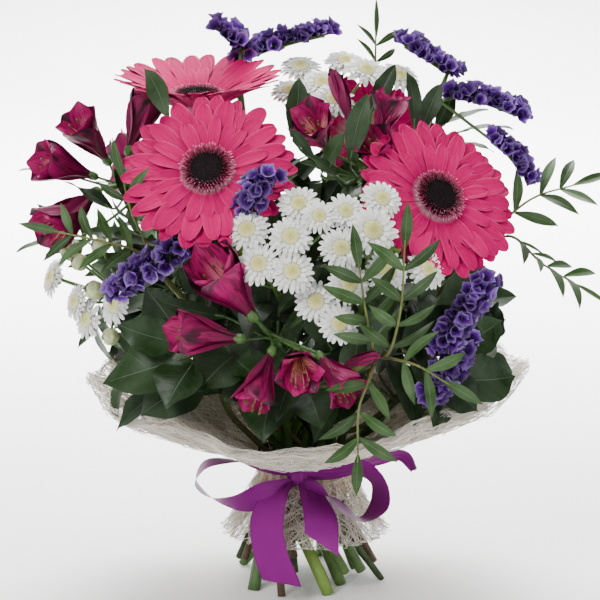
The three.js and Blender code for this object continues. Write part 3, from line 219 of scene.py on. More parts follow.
ALSTROEMERIA_LEAVES = {
    "alstroemeria_front": [((-50, -112, 200), (-92, -128, 214), 12), ((-12, -116, 196), (-2, -146, 204), 12)],
    "alstroemeria_centre": [
        ((42, -50, 322), (58, -44, 352), 13), ((28, -96, 296), (39, -86, 337), 15),
        ((70, -48, 312), (65, -38, 348), 13), ((75, -42, 310), (88, -34, 339), 13),
        ((-8, -72, 308), (-4, -68, 346), 15), ((10, -108, 290), (24, -120, 316), 15),
        ((6, -106, 296), (-12, -106, 318), 8), ((22, -112, 286), (0, -124, 303), 9),
        ((84, 4, 300), (103, 6, 333), 13), ((104, 6, 304), (139, 6, 305), 12),
        ((98, 4, 296), (126, 4, 290), 12), ((88, 6, 306), (122, 10, 318), 12),
        ((-4, -60, 300), (-14, -72, 330), 13), ((20, -88, 284), (-4, -104, 296), 12),
        ((34, -92, 280), (22, -112, 268), 12),
    ],
    "alstroemeria_left": [
        ((-86, -86, 322), (-100, -91, 353), 14), ((-124, -66, 262), (-152, -88, 282), 13),
        ((-156, -34, 280), (-186, -40, 283), 9), ((-146, -38, 240), (-188, -42, 230), 14),
        ((-118, -52, 282), (-124, -58, 306), 12), ((-92, -72, 224), (-134, -80, 232), 13),
        ((-90, -76, 210), (-122, -92, 196), 14), ((-86, -82, 240), (-122, -96, 250), 13),
        ((-98, -60, 240), (-144, -62, 246), 13), ((-104, -40, 262), (-122, -52, 300), 13),
        ((-92, -52, 284), (-104, -62, 318), 13),
    ],
    "alstroemeria_back": [
        ((-70, 74, 266), (-60, 96, 296), 14), ((-104, 58, 256), (-148, 64, 262), 13),
        ((-92, 84, 236), (-116, 124, 232), 14),
    ],
}

# Pistacia: the midrib of each compound leaf.
FRONDS = {
    "pistacia_front": [
        [(41, -150, 188), (36, -163, 214), (32, -169, 240)],
        [(50, -150, 184), (57, -165, 214), (59, -169, 252)],
        [(56, -148, 180), (68, -156, 178), (84, -154, 168)],
        [(40, -152, 172), (33, -163, 156), (32, -154, 122)],
    ],
    "pistacia_right": [
        [(132, -26, 250), (150, -22, 263), (176, -20, 271)],
        [(134, -40, 240), (153, -50, 224), (174, -52, 211)],
    ],
    "pistacia_left": [
        [(-104, -104, 240), (-128, -106, 247), (-154, -96, 251)],
        [(-100, -102, 246), (-108, -114, 268), (-112, -112, 284)],
    ],
    "pistacia_top": [[(47, 23, 344), (47, 20, 356), (47, 18, 364)]],
    "pistacia_back": [
        [(14, 136, 216), (4, 154, 200), (-2, 160, 176)], [(26, 134, 214), (44, 150, 214), (62, 152, 206)],
        [(20, 138, 220), (30, 152, 248), (34, 150, 272)],
    ],
    "pistacia_back_left": [
        [(-126, 88, 202), (-150, 92, 214), (-166, 84, 228)],
        [(-122, 96, 196), (-136, 118, 186), (-142, 132, 170)],
    ],
}

# The rim of the sisal collar: azimuth in degrees, radius and height.
COLLAR_RIM = [(0, 146, 145), (50, 138, 140), (90, 136, 138), (135, 140, 138), (180, 142, 136),
              (227, 131, 122), (267, 123, 103), (312, 128, 126), (360, 146, 145)]
NECK_RADIUS = 30.1
NECK_LOW = 76
NECK_HIGH = 90
SKIRT_RADIUS = 51
SKIRT_HEM = 36

# Ribbon strips: place, direction of the width, share of the full width.
STRIPS = {
    "left_loop": [
        ((-8, -40, 83.5), (0, 0, 1), 0.3), ((-26, -47, 88), (0.3, -0.7, 0.5), 0.8),
        ((-50, -50, 93), (0.1, -1, 0.1), 1), ((-67, -50, 89), (0.1, -1, 0), 1),
        ((-72, -50, 79), (0, -1, 0.1), 1), ((-64, -52, 70), (-0.2, -0.9, 0.3), 1),
        ((-46, -54, 66), (-0.3, -0.7, 0.6), 1), ((-24, -50, 71), (-0.3, -0.2, 0.9), 0.8),
        ((-8, -41, 77), (0, 0, 1), 0.25),
    ],
    "right_loop": [
        ((-2, -41, 83.5), (0, 0, 1), 0.3), ((18, -47, 87), (0.2, -0.6, 0.6), 0.8),
        ((38, -50, 87), (0.6, -0.7, 0.4), 1), ((49, -49, 76), (0.5, -0.86, 0.1), 1),
        ((49, -48, 62), (0.5, -0.86, 0), 1), ((39, -52, 53), (0.1, -1, 0.1), 1),
        ((26, -54, 60), (-0.5, -0.8, 0.3), 1), ((14, -50, 70), (-0.5, -0.5, 0.6), 0.8),
        ((-2, -41, 76.5), (0, 0, 1), 0.25),
    ],
    "left_tail": [
        ((-8.5, -42, 77), (1, 0, 0.2), 0.25), ((-18, -49, 70), (1, 0, 0.25), 0.7),
        ((-25, -60, 54), (1, 0.1, 0), 1), ((-23, -67, 36), (1, 0.1, -0.1), 1),
        ((-15, -70, 15), (1, 0.1, -0.5), 1),
    ],
    "right_tail": [
        ((-2.5, -38.5, 77), (1, 0, 0), 0.25), ((4, -46, 68), (1, 0.1, -0.1), 0.7),
        ((10, -58, 55), (1, 0.1, -0.1), 1), ((11, -66, 40), (1, 0.1, 0.55), 1),
    ],
    "far_end": [
        ((-2, -36.5, 80.5), (0, 0, 1), 0.3), ((28, -40, 84), (0.2, -0.6, 0.6), 0.7),
        ((52, -38, 93), (0.2, -0.5, 0.6), 0.8), ((65, -35, 93), (0.5, -0.5, 0.5), 0.55),
        ((73, -32, 82), (0.9, -0.3, 0.2), 0.2),
    ],
}


# Places and directions

def vec(values):
    """Numbers as an array of floats."""
    return np.array(values, float)


def unit(values):
    """Directions brought to length one."""
    values = np.asarray(values, float)
    return values / np.maximum(np.linalg.norm(values, axis=-1, keepdims=True), 1e-9)


def tie_centre():
    """The place of the binding tie on the ground, where the plan has its origin."""
    low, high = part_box("binding_tie")
    return np.array([(low[0] + high[0]) / 2, (low[1] + high[1]) / 2, 0.0])


PLAN_ORIGIN = tie_centre()


def in_frame(points):
    """Plan millimetres to the frame's metres."""
    return np.asarray(points, float) * MM + PLAN_ORIGIN


def smooth_line(points, count):
    """A smooth line of count points through the given ones, spaced by their distance."""
    points = np.asarray(points, float)
    if len(points) == 2:
        return points[0] + (points[1] - points[0]) * np.linspace(0, 1, count)[:, None]
    steps = np.linalg.norm(np.diff(points[:, :3], axis=0), axis=1)
    knots = np.concatenate([[0], np.cumsum(steps)])
    slopes = np.gradient(points, knots, axis=0)
    at = np.linspace(0, knots[-1], count)
    span = np.clip(np.searchsorted(knots, at, side="right") - 1, 0, len(points) - 2)
    width = steps[span][:, None]
    t = ((at - knots[span]) / steps[span])[:, None]
    start, end = points[span], points[span + 1]
    return ((2 * t**3 - 3 * t**2 + 1) * start + (t**3 - 2 * t**2 + t) * width * slopes[span]
            + (3 * t**2 - 2 * t**3) * end + (t**3 - t**2) * width * slopes[span + 1])


def axes_at(face):
    """The axis of a bloom and two directions across it."""
    axis = unit(face)
    across = unit(np.cross((1, 0, 0), axis)) if abs(axis[2]) > 0.95 else unit(np.cross(UP, axis))
    return axis, across, np.cross(axis, across)


# Stems, laid clear of each other in the same way as the solid ones

laid_starts, laid_ends, laid_radii = [], [], []


def closest_fractions(a, b, starts, ends):
    """The closest points of one segment and each of several, as the fraction along each."""
    ab, cd, offset = b - a, ends - starts, a - starts
    ab_square, cd_square = ab @ ab, (cd * cd).sum(1)
    cross, ab_offset, cd_offset = cd @ ab, offset @ ab, (cd * offset).sum(1)
    spread = ab_square * cd_square - cross * cross
    safe = np.where(spread > 1e-9, spread, 1.0)
    s = np.where(spread > 1e-9, np.clip((cross * cd_offset - ab_offset * cd_square) / safe, 0, 1), 0.5)
    t = (cross * s + cd_offset) / cd_square
    outside = (t < 0) | (t > 1)
    t = np.clip(t, 0, 1)
    return np.where(outside, np.clip((t * cross - ab_offset) / ab_square, 0, 1), s), t


def clear_path(points, radius, held, ignored=()):
    """Moves the inner points of a path until it passes clear of every stem already laid."""
    rounds, settling, near, smoothing = 90, 30, 4.0, 0.06
    path = np.array(points, float)
    kept = [k for k in range(len(laid_starts)) if k not in ignored]
    starts, ends = vec([laid_starts[k] for k in kept]), vec([laid_ends[k] for k in kept])
    wanted = vec([laid_radii[k] for k in kept]) + radius + 2.5 * CLEARANCE
    for turn in range(rounds):
        for i in range(len(path) - 1 if kept else 0):
            s, t = closest_fractions(path[i], path[i + 1], starts, ends)
            apart = path[i] + (path[i + 1] - path[i]) * s[:, None] - starts - (ends - starts) * t[:, None]
            for k in np.flatnonzero(np.linalg.norm(apart, axis=1) < wanted + near):
                (s_k,), (t_k,) = closest_fractions(path[i], path[i + 1], starts[k:k + 1], ends[k:k + 1])
                away = path[i] + (path[i + 1] - path[i]) * s_k - starts[k] - (ends[k] - starts[k]) * t_k
                distance = math.sqrt(away @ away)
                if distance >= wanted[k] or distance < 1e-6:
                    continue
                away *= (wanted[k] - distance) / distance
                if i >= held:
                    path[i] += away * (1 - s_k)
                if i + 1 >= held and i + 2 < len(path):
                    path[i + 1] += away * s_k
        if turn < rounds - settling:
            for i in range(held, len(path) - 1):
                path[i] += (0.5 * (path[i - 1] + path[i + 1]) - path[i]) * smoothing
    laid_starts.extend(path[:-1])
    laid_ends.extend(path[1:])
    laid_radii.extend([radius] * (len(path) - 1))
    return path


def place_at_tie():
    """Plan place of each stem at the tie, as complex numbers pushed apart inside the bundle."""
    rounds, pull = 400, 0.03
    innermost, outermost, spread_share, slanted = 4, 23, 0.15, 1.22
    turn_to_ground = complex(FOOT_INWARD, FOOT_SPREAD)
    places = []
    for stem in STEMS.values():
        x, y = stem["top"][:2]
        azimuth = math.atan2(y, x) + math.radians(HEAD_TWIST)
        spread = min(outermost, innermost + math.hypot(x, y) * spread_share)
        if "foot" in stem:
            wanted = complex(*stem["foot"]) / turn_to_ground
        else:
            wanted = complex(spread * math.cos(azimuth), spread * math.sin(azimuth))
        places.append([wanted, wanted, slanted * stem["radius"] + CLEARANCE])
    for turn in range(rounds):
        for i, one in enumerate(places):
            for other in places[i + 1:]:
                away = one[1] - other[1]
                missing = one[2] + other[2] - abs(away)
                if missing > 0:
                    away *= missing / 2 / abs(away)
                    one[1] += away
                    other[1] -= away
            if turn < rounds / 2:
                one[1] += (one[0] - one[1]) * pull
            limit = BUNDLE_RADIUS - one[2]
            if abs(one[1]) > limit:
                one[1] *= limit / abs(one[1])
    return {name: (place, place * turn_to_ground) for name, (_, place, _) in zip(STEMS, places)}


def lay_stems():
    """The line of each stem: straight from its cut end through the tie, then one sweep to its top."""
    leaving, arriving, long_reach = 0.75, 0.7, 200
    lines, last_segment = {}, {}
    for name, (slot, ground) in place_at_tie().items():
        stem = STEMS[name]
        at_tie, at_ground = vec((slot.real, slot.imag, TIE_HEIGHT)), vec((ground.real, ground.imag, 0))
        face = unit(stem["face"])
        top = vec(stem["top"]) - face * stem.get("back", 0)
        reach = np.linalg.norm(top - at_tie)
        steps = 5 if reach > long_reach else 4
        points = [at_ground + (at_tie - at_ground) * stem.get("cut", 0) / TIE_HEIGHT, at_tie]
        for i in range(1, steps + 1):
            t = i / steps
            sweep = at_tie + (top - at_tie) * t * t * (3 - 2 * t)
            onward = unit(at_tie - at_ground) * leaving * reach * t * (1 - t)**2
            points.append(sweep + onward + face * arriving * reach * t * t * (t - 1))
        lines[name] = vec(points)
    for name in lines:
        lines[name] = clear_path(lines[name], STEMS[name]["radius"], 2)
        last_segment[name] = len(laid_starts) - 1
    return lines, last_segment


LINES, LAST_SEGMENT = lay_stems()
BRANCH_RADIUS = 1.25


def lay_branches(name, ends):
    """The lines of the side branches, from the fork of a stem to the (place, direction) of each end."""
    first_fork, fork_span, bend_share, bend = 0.1, 0.7, 0.55, 0.16
    hub = LINES[name][-1] + unit(STEMS[name]["face"]) * 1.2 * CLEARANCE
    before = len(laid_starts)
    routes = []
    for i, (at, face) in enumerate(ends):
        fork = first_fork + fork_span * i / len(ends)
        root = routes[0][0] + (routes[0][1] - routes[0][0]) * fork if i else hub
        middle = root + (at - root) * bend_share - face * bend * np.linalg.norm(at - root)
        ignored = {LAST_SEGMENT[name], *range(before, len(laid_starts))}
        routes.append(clear_path([root, middle, at], BRANCH_RADIUS, 1, ignored))
    return routes


def head_axis(name, at):
    """The way a chrysanthemum head faces: out of the dome, and in some sprays a little to the front."""
    return unit(unit(at - DOME_CENTRE) - vec((0, FRONT_LEAN.get(name, 0), 0)))


def head_branches(name):
    """Branches to the heads of a spray, leaving out those that another head hides."""
    overlap, behind = 0.66, 0.2
    places = [(vec(head[:3]), head[3]) for head in HEADS[name]]
    held = []
    for i, (at, radius) in enumerate(places):
        if not any(np.linalg.norm(other - at) < overlap * (wide + radius) for other, wide in places[:i]):
            outward = head_axis(name, at)
            held.append((at - outward * behind * radius, outward))
    return lay_branches(name, held)


def pointing(pairs):
    """Each first place, with the direction from it to the second."""
    return [(vec(start), unit(vec(end) - vec(start))) for start, end, *_ in pairs]


BRANCHES = {name: head_branches(name) for name in HEADS}
for table in (BLOOMS, CLUSTERS):
    BRANCHES.update({name: lay_branches(name, pointing(pairs)) for name, pairs in table.items()})


def nearest_on(points, place):
    """The point of a stem nearest to a place, a little short of the stem's end."""
    best, short_of_end = None, 4
    for i in range(1, len(points)):
        line = points[i] - points[i - 1]
        most = 1 if i + 1 < len(points) else 1 - short_of_end / np.linalg.norm(line)
        share = min(most, max(0, (place - points[i - 1]) @ line / (line @ line)))
        candidate = points[i - 1] + line * share
        if best is None or np.linalg.norm(candidate - place) < np.linalg.norm(best - place):
            best = candidate
    return best


# Leaves inside the dome

LEAFY = [*SALAL_LEAVES, *ALSTROEMERIA_LEAVES]
INNER_LEAVES = 260
GOLDEN_TURN = math.pi * (3 - math.sqrt(5))


def draws(seed, count, low=0.0, high=1.0):
    """Random numbers that are the same at every run."""
    return np.random.default_rng(seed).uniform(low, high, count)


def inner_leaves():
    """Leaves that close the dome between the stems, each given to the leafy stem that passes nearest."""
    lowest, climb, outward, upward, slimness = -0.14, 1.08, 0.45, 0.35, 0.52
    order = np.arange(INNER_LEAVES) + 0.5
    rise = lowest + climb * order / INNER_LEAVES
    turn = order * GOLDEN_TURN
    flat = np.sqrt(1 - rise**2)
    ways = np.stack([flat * np.cos(turn), flat * np.sin(turn), rise], -1)
    outer = np.arange(INNER_LEAVES) % 3 == 0
    far = np.where(outer, draws(77, INNER_LEAVES, 112, 132), draws(77, INNER_LEAVES, 78, 110))
    length = np.where(outer, 40, 54) * draws(79, INNER_LEAVES, 0.85, 1.1)
    swing = draws(78, INNER_LEAVES, 0, 2 * np.pi)
    given = {name: [] for name in LEAFY}
    for i, way in enumerate(ways):
        _, side, other = axes_at(way)
        base = DOME_CENTRE + way * far[i]
        lean = outward * way + side * math.cos(swing[i]) + other * math.sin(swing[i]) + upward * UP
        tip = base + unit(lean) * length[i]
        nearest = min(LEAFY, key=lambda name: np.linalg.norm(nearest_on(LINES[name], base) - base))
        given[nearest].append((base, tip, slimness * length[i]))
    return given


INNER = inner_leaves()


# Meshes

class Skin:
    """Gathers the strips and tubes of one piece, each point with numbers that its material reads:
    along runs from root to tip, across from edge to edge, and tint differs from part to part."""

    def __init__(self):
        self.points, self.values, self.quads, self.slots = [], [], [], []
        self.count = 0

    def grids(self, points, along=None, across=None, tint=0.5, slot=0, closed=False):
        """Adds many like grids at once: points is (grids, rows, columns, 3)."""
        points = np.asarray(points, float)
        if points.ndim == 3:
            points = points[None]
        copies, rows, columns, _ = points.shape
        along = np.linspace(0, 1, rows)[None, :, None] if along is None else np.asarray(along, float)
        across = np.linspace(-1, 1, columns)[None, None, :] if across is None else np.asarray(across, float)
        tint = np.asarray(tint, float).reshape(-1, 1, 1)
        values = np.stack([np.broadcast_to(v, (copies, rows, columns)) for v in (along, across, tint)], -1)
        index = np.arange(rows * columns).reshape(rows, columns)
        if closed:
            index = np.concatenate([index, index[:, :1]], 1)
        corners = [index[:-1, :-1], index[:-1, 1:], index[1:, 1:], index[1:, :-1]]
        quads = np.stack(corners, -1).reshape(-1, 4)
        starts = self.count + np.arange(copies) * rows * columns
        self.quads.append((quads[None] + starts[:, None, None]).reshape(-1, 4))
        self.points.append(points.reshape(-1, 3))
        self.values.append(values.reshape(-1, 3))
        self.slots.append(np.full(len(quads) * copies, slot))
        self.count += copies * rows * columns

    def rounds(self, points, **numbers):
        """Adds grids whose last column meets their first, as in a tube."""
        self.grids(points, closed=True, **numbers)

    def build(self, name, materials):
        """Makes the object, in the frame's metres."""
        points, values = in_frame(np.concatenate(self.points)), np.concatenate(self.values)
        quads, slots = np.concatenate(self.quads), np.concatenate(self.slots)
        mesh = bpy.data.meshes.new(name)
        mesh.vertices.add(len(points))
        mesh.vertices.foreach_set("co", points.astype(np.float32).ravel())
        mesh.loops.add(quads.size)
        mesh.loops.foreach_set("vertex_index", quads.astype(np.int32).ravel())
        mesh.polygons.add(len(quads))
        mesh.polygons.foreach_set("loop_start", (np.arange(len(quads)) * 4).astype(np.int32))
        mesh.polygons.foreach_set("material_index", slots.astype(np.int32))
        mesh.polygons.foreach_set("use_smooth", np.ones(len(quads), bool))
        for key, column in zip(("along", "across", "tint"), values.T):
            mesh.attributes.new(key, "FLOAT", "POINT").data.foreach_set("value", column.astype(np.float32))
        mesh.update(calc_edges=True)
        mesh.validate()
        for material in materials:
            mesh.materials.append(material)
        piece = bpy.data.objects.new(name, mesh)
        bpy.context.scene.collection.objects.link(piece)
        return piece


def many(lines):
    """One line, or many, as many."""
    lines = np.asarray(lines, float)
    return lines[None] if lines.ndim == 2 else lines


def ring_angles(count, turn=0.0, stray=0.0):
    """Angles evenly round a circle, turned by a share of one step, each strayed a little."""
    return 2 * np.pi * (np.arange(count) + turn + stray) / count


def around(axes, angles):
    """The directions at some angles round an axis."""
    _, across, along = axes
    angles = np.asarray(angles, float)[..., None]
    return across * np.cos(angles) + along * np.sin(angles)


def blades(spines, normals, widths, columns=5, cup=0.0, fold=0.0, grooves=0, depth=0.0, twist=0.0):
    """Strips along many spines at once, each cupped, folded at its rib, or grooved lengthwise.
    spines is (blades, rows, 3), normals (blades, 3) or (blades, rows, 3), widths (blades or 1, rows)."""
    spines = many(spines)
    normals = np.asarray(normals, float).reshape(len(spines), -1, 3)
    directions = unit(np.gradient(spines, axis=1))
    side = unit(np.cross(directions, normals))
    up = unit(np.cross(side, directions))
    if np.any(twist):
        angle = np.asarray(twist, float).reshape(-1, 1, 1)
        side, up = side * np.cos(angle) + up * np.sin(angle), up * np.cos(angle) - side * np.sin(angle)
    half = np.broadcast_to(np.asarray(widths, float), spines.shape[:2])[..., None] / 2
    across = np.linspace(-1, 1, columns)
    crown = half * (cup * across**2 + fold * np.abs(across))
    lift = crown + depth * np.minimum(1, half) * np.cos(np.pi * grooves * across)
    level = spines[:, :, None, :] + side[:, :, None, :] * (half * across)[..., None]
    return level + up[:, :, None, :] * lift[..., None]


def tubes(paths, radii, sides=6, ridge=0.0):
    """Round tubes along many paths at once: paths is (tubes, rows, 3), radii (tubes or 1, rows)."""
    paths = many(paths)
    directions = unit(np.gradient(paths, axis=1))
    chord = unit(paths[:, -1] - paths[:, 0])
    helper = np.where(np.abs(chord[:, 2:3]) > 0.7, vec([[1, 0, 0]]), vec([[0, 0, 1]]))[:, None, :]
    side = unit(np.cross(directions, helper))
    other = np.cross(directions, side)
    angles = ring_angles(sides)
    ridged = 1 + ridge * np.cos(angles * sides / 2)
    radii = np.broadcast_to(np.asarray(radii, float), paths.shape[:2])[..., None] * ridged
    return (paths[:, :, None, :] + side[:, :, None, :] * (radii * np.cos(angles))[..., None]
            + other[:, :, None, :] * (radii * np.sin(angles))[..., None])


def tapered(paths, radii):
    """A path and its radii with both ends closed to a point."""
    point, bulge = 0.04, 0.3
    paths = many(paths)
    radii = np.broadcast_to(np.asarray(radii, float), paths.shape[:2])
    first = paths[:, :1] - unit(paths[:, 1:2] - paths[:, :1]) * radii[:, :1, None] * bulge
    last = paths[:, -1:] + unit(paths[:, -1:] - paths[:, -2:-1]) * radii[:, -1:, None] * bulge
    return (np.concatenate([first, paths, last], 1),
            np.concatenate([radii[:, :1] * point, radii, radii[:, -1:] * point], 1))


def rings(at, axes, profile, sides, lobes=0, lobe=0.0):
    """A turned shape round an axis from rows of (radius, height), with lobes round its outline."""
    axis, across, along = axes
    angles = ring_angles(sides)
    profile = vec(profile)
    radius = profile[:, :1] * (1 + lobe * np.cos(lobes * angles))
    return (vec(at) + across * (radius * np.cos(angles))[..., None]
            + along * (radius * np.sin(angles))[..., None] + axis * profile[:, 1][:, None, None])


STUD_PROFILE = [(1.0, -0.3), (0.95, 0.5), (0.6, 0.9), (0.05, 1.0)]


def studs(places, axes, radius, height, sides=5):
    """Small domes standing on many places at once."""
    places, axes = np.asarray(places, float), unit(axes)
    across = unit(np.cross(axes, vec([0.3, 0.5, 0.8])))
    other = np.cross(axes, across)
    angles = ring_angles(sides)
    radius, height = (np.asarray(v, float).reshape(-1, 1, 1, 1) for v in (radius, height))
    rounds, lifts = (np.reshape(v, (1, -1, 1, 1)) for v in zip(*STUD_PROFILE))
    ring = across[:, None, None] * np.cos(angles)[:, None] + other[:, None, None] * np.sin(angles)[:, None]
    return places[:, None, None] + ring * rounds * radius + axes[:, None, None] * lifts * height


def packed_eye(axes, count, reach):
    """Places packed evenly over a round eye: how far out each one stands, and which way."""
    order = np.arange(count) + 0.5
    return reach * np.sqrt(order / count), around(axes, order * GOLDEN_TURN)


# Materials

def linear(code):
    """A hex colour as linear red, green and blue."""
    parts = [int(code[i:i + 2], 16) / 255 for i in (0, 2, 4)]
    return tuple(((p + 0.055) / 1.055)**2.4 if p > 0.04045 else p / 12.92 for p in parts)


def rgba(value):
    """A hex colour, a grey or a colour of three parts as the four parts of a socket."""
    if isinstance(value, str):
        value = linear(value)
    elif isinstance(value, (int, float)):
        value = (value, value, value)
    return (*tuple(value)[:3], 1.0)


def tone(value, factor):
    """A colour made darker, or lighter towards white where the factor is over one."""
    if factor <= 1:
        return tuple(part * factor for part in rgba(value)[:3])
    return tuple(part + (1 - part) * (factor - 1) for part in rgba(value)[:3])


class Finish:
    """A node material, built up from small steps that each give back a socket."""

    def __init__(self, name, roughness=0.5, specular=0.5):
        self.material = bpy.data.materials.new(name)
        self.material.use_nodes = True
        self.tree = self.material.node_tree
        self.shader = self.tree.nodes["Principled BSDF"]
        self.shader.inputs["Roughness"].default_value = roughness
        self.shader.inputs["Specular IOR Level"].default_value = specular

    def node(self, kind, settings=None, **inputs):
        """A new node of a kind, with its settings, and its inputs linked or set."""
        node = self.tree.nodes.new(kind)
        for key, value in (settings or {}).items():
            setattr(node, key, value)
        for key, value in inputs.items():
            self.feed(node.inputs[key], value)
        return node

    def feed(self, socket, value):
        """Links a socket to another, or sets its value."""
        if isinstance(value, bpy.types.NodeSocket):
            self.tree.links.new(value, socket)
        else:
            socket.default_value = value

    def value(self, name):
        """One of the numbers that the points of a piece carry."""
        return self.node("ShaderNodeAttribute", {"attribute_name": name}).outputs["Fac"]

    def math(self, operation, first, second=0.0):
        """The result of one operation on one or two values."""
        node = self.node("ShaderNodeMath", {"operation": operation})
        self.feed(node.inputs[0], first)
        self.feed(node.inputs[1], second)
        return node.outputs[0]

    def times(self, first, second):
        """The product of two values."""
        return self.math("MULTIPLY", first, second)

    def from_middle(self):
        """0 along the middle of a blade and 1 at its edges."""
        return self.math("ABSOLUTE", self.value("across"))

    def place(self, scale=(1, 1, 1)):
        """Places on the piece, in metres times a scale."""
        coordinates = self.node("ShaderNodeTexCoord").outputs["Object"]
        return self.node("ShaderNodeMapping", Vector=coordinates, Scale=scale).outputs[0]

    def noise(self, scale, detail=3.0, place=None, distortion=0.0):
        """Cloudy noise from 0 to 1, on the piece's own places where none are given."""
        return self.node("ShaderNodeTexNoise", Vector=place or self.place(), Scale=scale, Detail=detail,
                         Distortion=distortion).outputs["Fac"]

    def streaks(self, along, across, detail=2.0):
        """Noise stretched lengthwise over a petal or leaf, different for each one."""
        place = self.node("ShaderNodeCombineXYZ", X=self.times(self.value("along"), along),
                          Y=self.times(self.value("across"), across),
                          Z=self.times(self.value("tint"), 40.0)).outputs[0]
        return self.noise(1.0, detail, place)

    def ramp(self, factor, *stops):
        """A colour that follows a factor through stops of (position, colour)."""
        node = self.node("ShaderNodeValToRGB", Fac=factor)
        elements = node.color_ramp.elements
        while len(elements) < len(stops):
            elements.new(0.5)
        for element, (position, colour) in zip(elements, stops):
            element.position = position
            element.color = rgba(colour)
        return node.outputs["Color"]

    def mix(self, factor, first, second, blend="MIX"):
        """Two colours blended by a factor."""
        node = self.node("ShaderNodeMix", {"data_type": "RGBA", "blend_type": blend})
        self.feed(node.inputs[0], factor)
        for socket, value in ((node.inputs[6], first), (node.inputs[7], second)):
            self.feed(socket, value if isinstance(value, bpy.types.NodeSocket) else rgba(value))
        return node.outputs[2]

    def vary(self, colour, factor, low, high):
        """Darkens and lightens a colour by a factor from 0 to 1."""
        return self.mix(1.0, colour, self.ramp(factor, (0.2, low), (0.8, high)), "MULTIPLY")

    def bump(self, height, distance, strength=1.0):
        """Raises the surface by a height from 0 to 1, times a distance in metres."""
        node = self.node("ShaderNodeBump", Height=height, Distance=distance, Strength=strength)
        self.feed(self.shader.inputs["Normal"], node.outputs[0])

    def paint(self, colour):
        """Gives the surface its colour, and hands over the material."""
        self.feed(self.shader.inputs["Base Color"], colour)
        return self.material


def petal_finish(name, root, middle, tip, veins, depth=0.0003, fade=(0.0, 0.22), edge=0.0, **surface):
    """A petal: root to tip colours, fine lengthwise veins, a paler edge, and no two petals quite alike."""
    finish = Finish(name, **surface)
    lines = finish.streaks(1.5, 14.0)
    base = finish.ramp(finish.value("along"), (fade[0], root), (fade[1], middle), (0.8, middle), (1.0, tip))
    base = finish.mix(finish.ramp(lines, (0.5, 0.0), (0.68, 0.55)), base, veins)
    rim = finish.ramp(finish.from_middle(), (0.8, 0.0), (1.0, edge))
    base = finish.mix(rim, base, tone(middle, 1.2))
    finish.bump(lines, depth)
    return finish.paint(finish.vary(base, finish.value("tint"), 0.84, 1.0))


def leaf_finish(name, colour, roughness, rib_width, side_veins, patch, vein=0.0):
    """A leaf: dark and light patches, a pale rib and slanting side veins."""
    finish = Finish(name, roughness, specular=0.17)
    rib = tone(colour, 1.12)
    across = finish.from_middle()
    base = finish.ramp(finish.noise(patch, 4.0), (0.3, tone(colour, 0.6)), (0.72, tone(colour, 1.04)))
    base = finish.vary(base, finish.value("tint"), 0.65, 1.15)
    slant = finish.math("SUBTRACT", finish.times(finish.value("along"), side_veins),
                        finish.times(across, 1.6))
    wave = finish.math("ABSOLUTE", finish.math("SINE", finish.times(slant, math.pi)))
    base = finish.mix(finish.ramp(wave, (0.0, vein), (0.1, 0.0)), base, rib)
    base = finish.mix(finish.ramp(across, (0.0, 0.7), (rib_width, 0.0)), base, rib)
    veined = finish.times(finish.math("POWER", wave, 0.4), 3 * vein)
    finish.bump(finish.math("ADD", veined, finish.noise(400.0, 2.0)), 0.0003, 0.5)
    return finish.paint(base)


def stem_finish(name, low, high, mark, roughness=0.5):
    """A stem: two greens along it, with fine lengthwise marks and pores."""
    finish = Finish(name, roughness)
    base = finish.ramp(finish.value("along"), (0.05, low), (0.6, high))
    marks = finish.noise(1.0, 3.0, finish.place((700, 700, 60)))
    base = finish.mix(finish.ramp(marks, (0.45, 0.0), (0.7, 0.6)), base, mark)
    finish.bump(marks, 0.0004, 0.6)
    return finish.paint(base)


def gerbera_finishes(colour):
    """Petals, ring florets, eye and bracts."""
    petal = petal_finish("gerbera petal", tone(colour, 1.4), colour, tone(colour, 0.9), tone(colour, 0.6),
                         0.00045, fade=(0.17, 0.32), edge=0.22, roughness=0.6, specular=0.08)
    floret = Finish("gerbera ring floret", 0.6)
    stops = [(0.0, "14040A"), (0.5, "5A0A28"), (0.8, "A01450"), (0.95, "E88AB2")]
    shade = floret.ramp(floret.value("along"), *stops)
    eye = Finish("gerbera eye", 0.75, specular=0.25)
    speckle = eye.noise(900.0, 2.0)
    eye.bump(speckle, 0.0005)
    return [petal, floret.paint(floret.vary(shade, floret.value("tint"), 0.6, 1.1)),
            eye.paint(eye.ramp(speckle, (0.4, "080204"), (0.75, "200710"))),
            stem_finish("gerbera bract", "5E7A30", "7E9E46", "46601F", 0.6)]


def chrysanthemum_finishes(white, eye_colour):
    """Petals, eye, buds and branches."""
    cream = Finish("chrysanthemum eye", 0.65)
    shade = cream.ramp(cream.value("along"), (0.0, tone(eye_colour, 0.9)), (0.6, tone(eye_colour, 1.3)),
                       (0.85, tone(eye_colour, 1.6)), (1.0, tone(eye_colour, 0.5)))
    petal = petal_finish("chrysanthemum petal", "B9BE8C", white, tone(white, 1.3), tone(white, 0.84), 0.0002,
                         roughness=0.55, specular=0.25)
    bud = petal_finish("chrysanthemum bud", "6C8A3C", "C9D09A", "F0EED6", "8FA25A", fade=(0.1, 0.6))
    return [petal, cream.paint(cream.vary(shade, cream.value("tint"), 0.84, 1.0)), bud,
            stem_finish("chrysanthemum branch", "4E6B2C", "55763A", "33491F", 0.55)]


